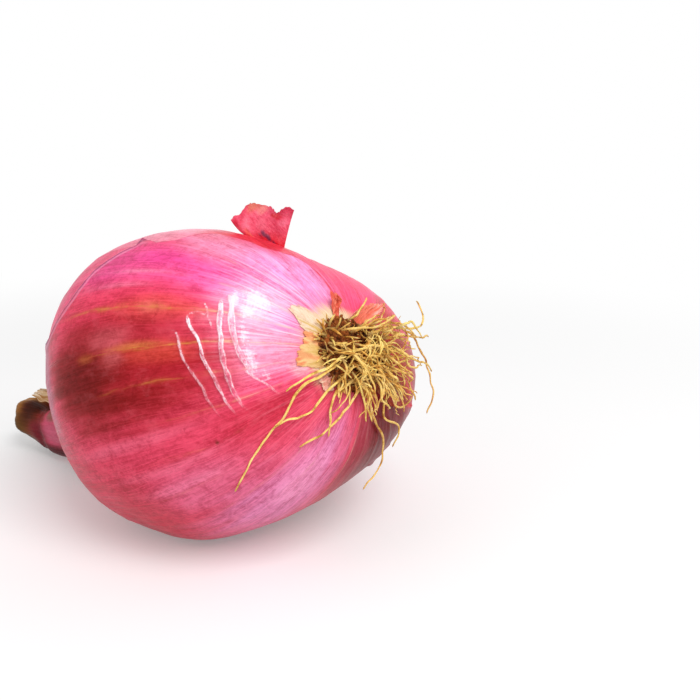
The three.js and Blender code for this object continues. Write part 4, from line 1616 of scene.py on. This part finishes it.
def grained(n, skin):
    """The tint of the outer or the inner skin, lightened and darkened by the noises."""
    outer, inner = n.attribute("outer_tint", "Color"), n.attribute("inner_tint", "Color")
    torn = n.mix(n.ramp(skin.along, "soft tear"), n.ramp(skin.tear, "torn"),
                 n.ramp(skin.tear, "softly torn"))
    plain = tint = n.mix(torn, inner, outer)
    deep = n.mix(1, tint, DEEPER, "MULTIPLY")
    pale = n.mix(1, n.mix(1, tint, BRIGHTER, "MULTIPLY"), PALER, "ADD")
    for name, (lighter, darker, reach) in SKIN_LAYERS.items():
        layer = getattr(skin, name)
        for end, amount, other in ((reach, lighter, pale), (-reach, darker, deep)):
            shown = n.step(layer, NOISE_MIDDLE, NOISE_MIDDLE + end, 0, amount)
            tint = n.mix(shown, tint, other)
    tint = n.mix(n.ramp(skin.blotches, "haze"), tint, HAZE, "SCREEN")
    specks = n.times(n.ramp(skin.mottle, "specks"), n.ramp(skin.along, "specked"))
    tint = n.mix(specks, tint, deep)
    tint = n.mix(n.ramp(skin.along, "neck"), tint, plain)
    thread = n.ramp(n.apart(skin.threads, NOISE_MIDDLE), "thread")
    return n.mix(n.times(thread, THREAD_STRENGTH), tint, pale)


def whitish(n, skin, tint):
    """Towards the roots the fibres show as white streaks, strongest on the lit shoulder: painted
    highlight.
    """
    drawn_out = n.times(n.ramp(skin.along, "whitish"), n.ramp(skin.streaks, "white streaks"))
    return n.coats(tint, (STREAK_WHITE, n.times(drawn_out, n.ramp(skin.shoulder, "shoulder"))))


def veined(n, skin, tint):
    """The golden veins: each a narrow core in a wider band, paler towards the roots."""
    turns = VEINS / (2 * math.pi)
    ring = n.math("MULTIPLY_ADD", skin.angle, turns, -VEIN_AT * turns)
    ring = n.math("ADD", ring, n.ramp(skin.crooked, "crooked"))
    off = n.apart(ring, n.math("ROUND", ring))
    gold = n.times(n.attribute("gold"), n.ramp(skin.patchy, "gold patches"))
    near_roots = n.ramp(skin.along, "pale veins")
    for name, (strength, *codes) in (("band", VEIN_BAND), ("core", VEIN_CORE)):
        shown = n.times(n.ramp(off, f"vein {name}"), n.ramp(skin.worn, f"worn {name}"))
        colour = n.mix(near_roots, *(rgba(code) for code in codes))
        tint = n.mix(n.times(shown, gold, strength), tint, colour)
    return tint


def creased(n, skin, tint):
    """Paler stretched skin and a painted highlight along the creases, in broken lines along them.
    """
    outside, white = n.attribute("crease_outside"), n.attribute("crease_pale_and_highlight")
    frayed = n.math("ADD", outside, n.ramp(skin.fibres, "frayed"))
    broken = n.ramp(n.math("ADD", skin.hoops, n.ramp(skin.mottle, "jagged")), "broken")
    line = n.ramp(n.math("ABSOLUTE", frayed), "crease line")
    line = n.times(line, white, n.ramp(broken, "broken line"))
    top = n.times(n.ramp(frayed, "crease top"), white)
    solid = n.math("ADD", broken, n.ramp(white, "whitest"))
    return n.coats(tint, (CREASE_PINK, n.times(top, CREASE_PINK_STRENGTH)),
                   (CREASE_PALE, n.times(top, solid, CREASE_PALE_STRENGTH)), (CREASE_WHITE, line))


def paint_highlight(n, skin, tint):
    """Painted highlight: the lamp's glare painted white, broken up along the wrinkles."""
    painted_highlight = wrinkled = n.attribute("painted_highlight")
    for name, weight in HIGHLIGHT_BREAKS.items():
        wrinkled = n.math("MULTIPLY_ADD", getattr(skin, name), weight, wrinkled)
    white = n.times(n.ramp(wrinkled, "wrinkled"), n.ramp(painted_highlight, "painted_highlight"), HIGHLIGHT_STRENGTH)
    return n.coats(tint, (HIGHLIGHT_WHITE, white))


def torn_edged(n, skin, tint):
    """Torn edge: a purple line on the left shoulder, the edge and painted shadow under it, red
    along the top.
    """
    at_left = n.ramp(skin.along, "left edge")
    seen = n.math("MAXIMUM", at_left, n.ramp(skin.along, "top edge"))
    edge = n.ramp(n.apart(skin.tear, EDGE_AT), "edge")
    edge = n.times(edge, seen, n.ramp(skin.clouds, "edge clouds"))
    tint = n.mix(edge, tint, n.mix(at_left, rgba(EDGE_RED), rgba(EDGE_SHADOW_PURPLE)))
    # A pale lilac painted highlight beside the edge, on the left shoulder.
    beside = n.ramp(n.apart(skin.tear, BESIDE_AT), "beside")
    return n.coats(tint, (BESIDE_HIGHLIGHT_LILAC, n.times(beside, at_left, BESIDE_HIGHLIGHT_STRENGTH)))


def dry_at_roots(n, skin, tint):
    """The dry ring round the root plate: cream and straw painted on the lit side, rust on the unlit
    side as painted shade.
    """
    fringe = n.math("MULTIPLY_ADD", skin.streaks, FRINGE, skin.along)
    lit_cream = n.times(n.ramp(fringe, "collar"), n.ramp(skin.shoulder, "lit"))
    straw = n.times(lit_cream, n.ramp(skin.fibres, "straw"))
    shaded_rust = n.times(n.ramp(fringe, "dry collar"), n.ramp(skin.shoulder, "unlit"), SHADE_RUST_STRENGTH)
    return n.coats(tint, (COLLAR_LIT_CREAM, lit_cream), (COLLAR_STRAW, straw), (COLLAR_SHADE_RUST, shaded_rust))


def skin_material():
    n = new_material("Onion skin", SKIN_RANGES)
    skin = skin_values(n)
    tint = grained(n, skin)
    for paint in (whitish, veined, creased, paint_highlight, torn_edged, dry_at_roots):
        tint = paint(n, skin, tint)
    streaks = n.times(skin.streaks, RIBS["streaks"])
    ribs = n.math("MULTIPLY_ADD", skin.fibres, RIBS["fibres"], streaks)
    normal = n.bump(skin.mottle, *PORE_BUMP, n.bump(ribs, *RIB_BUMP))
    return n.principled(tint, n.ramp(skin.streaks, "roughness"), normal, SKIN_GLOSS)


# ---- Dried roots, soil and papery skins ----------------------------------------------------

# The noises of these materials: the scale, the detail and the roughness.
ROOT_PATCHES = (0.5, 3, 0.6)
ROOT_FIBRES = (3.2, 3, 0.7)
# A root's tints: the two that chance mixes, then the patches, the fibres, the soiled foot and
# the tip.
ROOT_PALE = "FFE078"
ROOT_GOLD = "E2A03C"
ROOT_LIGHT = "FEE494"
ROOT_BROWN = "A4621A"
ROOT_FIBRE = "8E4C12"
ROOT_SOILED = "6E3A10"
ROOT_TIP = "A8702A"
SOILED_PATCHES = -4
ROOT_RANGES = {
    "light": (0.4, 0.7, 0, 0.75), "brown": (0.5, 0.3, 0, 0.75), "fibre": (0.5, 0.28, 0, 0.55),
    "soiled": (0.4, -2, 0, 0.7), "tip": (0.9, 1, 0, 0.4),
}
ROOT_BUMP = (0.6, 0.12)
ROOT_ROUGHNESS = 0.62

SOIL_COARSE = (0.8, 4, 0.7)
SOIL_FINE = (3.4, 3, 0.7)
SOIL_DARK = "44180A"
SOIL_BROWN = "964C1A"
SOIL_OCHRE = "C87032"
SOIL_SAND = "DC9650"
SOIL_BLACK = "240C04"
SOIL_RANGES = {
    "tone": (0.1, 0.9), "ochre": (0.42, 0.68, 0, 0.7), "sand": (0.55, 0.72, 0, 0.7),
    "black": (0.46, 0.3, 0, 0.9),
}
SOIL_BUMP = (0.9, 0.35)
SOIL_ROUGHNESS = 0.88

PAPER_STREAKS = (1.5, 3, 0.6)
PAPER_FIBRES = (4.6, 2, 0.6)
PAPER_SPOTS = (0.9, 4, 0.65)
PAPER_LIGHTER = (0.1, 0.07, 0.07, 1)
# How strongly the streaks, the fibres and the spots show, and the values they lighten and darken
# up to.
PAPER_AMOUNTS = (0.7, 0.55, 0.6)
PAPER_LIGHT_TO = 0.75
PAPER_DARK_TO = 0.27
PAPER_FIBRE_RIBS = 0.5
PAPER_RIB_BUMP = (0.7, 0.2)
PAPER_SPOT_BUMP = (0.3, 0.3)
# The two papery materials: what the dark fibres multiply the tint by, the roughness, and how
# drawn out the fibres are along the scrap.
TORN_PAPER = ("Torn papery skin", (0.88, 0.66, 0.5, 1), 0.55, 0.1)
LOOSE_PAPER = ("Loose coral skin", (0.74, 0.42, 0.47, 1), 0.45, 0.6)

DULL = {"Specular IOR Level": 0.3}
DULLER = {"Specular IOR Level": 0.2}


def dried_root_material():
    n = new_material("Dried root", ROOT_RANGES)
    reach, tone, length = n.parts(n.attribute("strand", "Vector"))
    place = n.place()
    patches, fibres = n.noise(place, *ROOT_PATCHES), n.noise(place, *ROOT_FIBRES)
    soiled = n.math("MULTIPLY_ADD", patches, SOILED_PATCHES, length)
    tint = n.coats(n.mix(tone, rgba(ROOT_PALE), rgba(ROOT_GOLD)),
                   (ROOT_LIGHT, n.ramp(patches, "light")), (ROOT_BROWN, n.ramp(patches, "brown")),
                   (ROOT_FIBRE, n.ramp(fibres, "fibre")), (ROOT_SOILED, n.ramp(soiled, "soiled")),
                   (ROOT_TIP, n.ramp(reach, "tip")))
    return n.principled(tint, ROOT_ROUGHNESS, n.bump(fibres, *ROOT_BUMP), DULL)


def soil_material():
    n = new_material("Root plate soil", SOIL_RANGES)
    tone = n.parts(n.attribute("soil", "Vector"))[1]
    place = n.place()
    coarse, fine = n.noise(place, *SOIL_COARSE), n.noise(place, *SOIL_FINE)
    tint = n.coats(n.mix(n.ramp(tone, "tone"), rgba(SOIL_DARK), rgba(SOIL_BROWN)),
                   (SOIL_OCHRE, n.ramp(coarse, "ochre")), (SOIL_SAND, n.ramp(fine, "sand")),
                   (SOIL_BLACK, n.ramp(coarse, "black")))
    normal = n.bump(n.math("ADD", coarse, fine), *SOIL_BUMP)
    return n.principled(tint, SOIL_ROUGHNESS, normal, DULLER)


def paper_material(name, fibre_dark, roughness, stretch):
    n = new_material(name)
    weave = n.scaled(n.attribute("weave", "Vector"), (1, stretch, 1))
    streaks, fibres = n.noise(weave, *PAPER_STREAKS), n.noise(weave, *PAPER_FIBRES)
    spots = n.noise(n.place(), *PAPER_SPOTS)
    tint = n.attribute("tint", "Color")
    light = n.mix(1, tint, PAPER_LIGHTER, "ADD")
    dark = n.mix(1, tint, fibre_dark, "MULTIPLY")
    for layer, amount in zip((streaks, fibres, spots), PAPER_AMOUNTS):
        for end, other in ((PAPER_LIGHT_TO, light), (PAPER_DARK_TO, dark)):
            tint = n.mix(n.step(layer, NOISE_MIDDLE, end, 0, amount), tint, other)
    ribs = n.math("MULTIPLY_ADD", fibres, PAPER_FIBRE_RIBS, streaks)
    normal = n.bump(spots, *PAPER_SPOT_BUMP, n.bump(ribs, *PAPER_RIB_BUMP))
    return n.principled(tint, roughness, normal, DULL)


# ---- Stage, lamps and camera ---------------------------------------------------------------

# The direction the camera looks from, and its distances from the bulb's middle: to the right, up
# and back.
CAMERA_AZIMUTH = math.radians(41.7)
CAMERA_ELEVATION = math.radians(16)
CAMERA_OFFSET = (29.6, 8.0, 222.1)
LENS = 50
FLOOR_HALF = 6000.0
KEY_DIRECTION = Vector((0.66, -0.2, 0.724))
KEY_DISTANCE = 800.0
KEY_SIZE = 420.0
KEY_POWER = 4.2
FILL_DIRECTION = Vector((-0.2, -0.9, 0.5))
FILL_POWER = 0.5
AMBIENT = 0.55
# How much the open floor glows to the camera, and where it fades into the surroundings.
FLOOR_GLOW = 0.22
FLOOR_FADE = (120, 300)
WHITE = (1, 1, 1, 1)
FLOOR_WHITE = (0.8, 0.8, 0.8, 1)


def make_camera(middle):
    cos, sin = math.cos(CAMERA_ELEVATION), math.sin(CAMERA_ELEVATION)
    right = Vector((math.cos(CAMERA_AZIMUTH), math.sin(CAMERA_AZIMUTH), 0))
    back = Vector((math.sin(CAMERA_AZIMUTH) * cos, -math.cos(CAMERA_AZIMUTH) * cos, sin))
    up = back.cross(right)
    place = middle
    for direction, distance in zip((right, up, back), CAMERA_OFFSET):
        place = place + direction * distance * MM
    data = bpy.data.cameras.new("camera")
    data.lens = LENS
    camera = bpy.data.objects.new("camera", data)
    turn = Matrix((right, up, back)).transposed()
    camera.matrix_world = Matrix.Translation(place) @ turn.to_4x4()
    bpy.context.scene.collection.objects.link(camera)
    bpy.context.scene.camera = camera


def make_lamp(name, middle, direction, power):
    data = bpy.data.lights.new(name, "AREA")
    data.size = KEY_SIZE * MM
    data.energy = power
    lamp = bpy.data.objects.new(name, data)
    lamp.location = middle + direction.normalized() * KEY_DISTANCE * MM
    lamp.rotation_euler = direction.to_track_quat("Z", "Y").to_euler()
    bpy.context.scene.collection.objects.link(lamp)


def seen_share(n):
    """1 for rays from the camera and for reflections or refractions of it, else 0."""
    rays = n.add("ShaderNodeLightPath").outputs
    seen = n.math("MAXIMUM", rays["Is Camera Ray"], rays["Is Glossy Ray"])
    return n.math("MAXIMUM", seen, rays["Is Transmission Ray"])


def make_world():
    world = bpy.data.worlds.new("studio")
    bpy.context.scene.world = world
    n = Nodes(world)
    background = n.tree.nodes["Background"]
    background.inputs["Color"].default_value = WHITE
    strength = n.math("MULTIPLY_ADD", seen_share(n), 1 - AMBIENT, AMBIENT)
    n.put(strength, background.inputs["Strength"])


def floor_material():
    """White paper that keeps the object's shadow and runs into the white surroundings."""
    n = new_material("Studio floor")
    matt = n.add("ShaderNodeBsdfDiffuse", {"Color": FLOOR_WHITE}).outputs[0]
    glow = n.add("ShaderNodeEmission", {"Color": WHITE, "Strength": FLOOR_GLOW}).outputs[0]
    lit = n.add("ShaderNodeAddShader", {0: matt, 1: glow}).outputs[0]
    place = n.add("ShaderNodeNewGeometry").outputs["Position"]
    away = n.add("ShaderNodeVectorMath", {0: place}, operation="LENGTH").outputs["Value"]
    far = n.step(away, *(edge * MM for edge in FLOOR_FADE))
    surroundings = n.add("ShaderNodeEmission", {"Color": WHITE, "Strength": 1.0}).outputs[0]
    seen = n.add("ShaderNodeMixShader", {0: far, 1: lit, 2: surroundings}).outputs[0]
    mixed = n.add("ShaderNodeMixShader", {0: seen_share(n), 1: matt, 2: seen}).outputs[0]
    return n.finish(mixed)


def make_floor():
    h = FLOOR_HALF
    corners = [(-h, -h, 0), (h, -h, 0), (h, h, 0), (-h, h, 0)]
    floor = new_object("studio_floor", corners, [[0, 1, 2, 3]], floor_material())


# ---- Putting it together -------------------------------------------------------------------

FORM_ANGLES = 241
COLLAR_SEED = 300
COLLAR_SEED_STEP = 20


def fit(piece, slot, *nodes):
    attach(piece, BODY)
    if nodes:
        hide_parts(*nodes)


def main():
    angles = np.linspace(0, 2 * math.pi, FORM_ANGLES)
    whole_form = surface(*np.meshgrid(angles, ring_places()))
    whole_form[..., 2] = np.maximum(whole_form[..., 2], 0)
    offset = bulb_offset(whole_form)
    middle = Vector(offset + np.array([0, 0, CENTRE_HEIGHT])) * MM
    make_camera(middle)
    make_lamp("key", middle, KEY_DIRECTION, KEY_POWER)
    make_lamp("fill", middle, FILL_DIRECTION, FILL_POWER)
    make_world()
    make_floor()
    fit(bulb_mesh(skin_material(), offset), "onion_skin", "bulb")
    fit(plate_piece(soil_material(), offset), "root_plate", "root_plate")
    root = dried_root_material()
    for piece, node in root_pieces(root):
        fit(piece, "dried_roots", node)
    for piece in (stub_piece(root, offset), *fine_root_pieces(root, offset)):
        fit(piece, "dried_roots")
    torn = paper_material(*TORN_PAPER)
    for number, (name, scrap) in enumerate(COLLAR_SCRAPS.items()):
        seed = COLLAR_SEED + COLLAR_SEED_STEP * number
        fit(collar_piece(name, scrap, torn, offset, seed), "torn_skin", name)
    fit(neck_scrap_piece(torn, offset), "torn_skin", "neck_scrap")
    fit(flap_piece(paper_material(*LOOSE_PAPER), offset), "loose_skin", "top_flap")


main()
bpy.context.scene.view_settings.view_transform = "Standard"
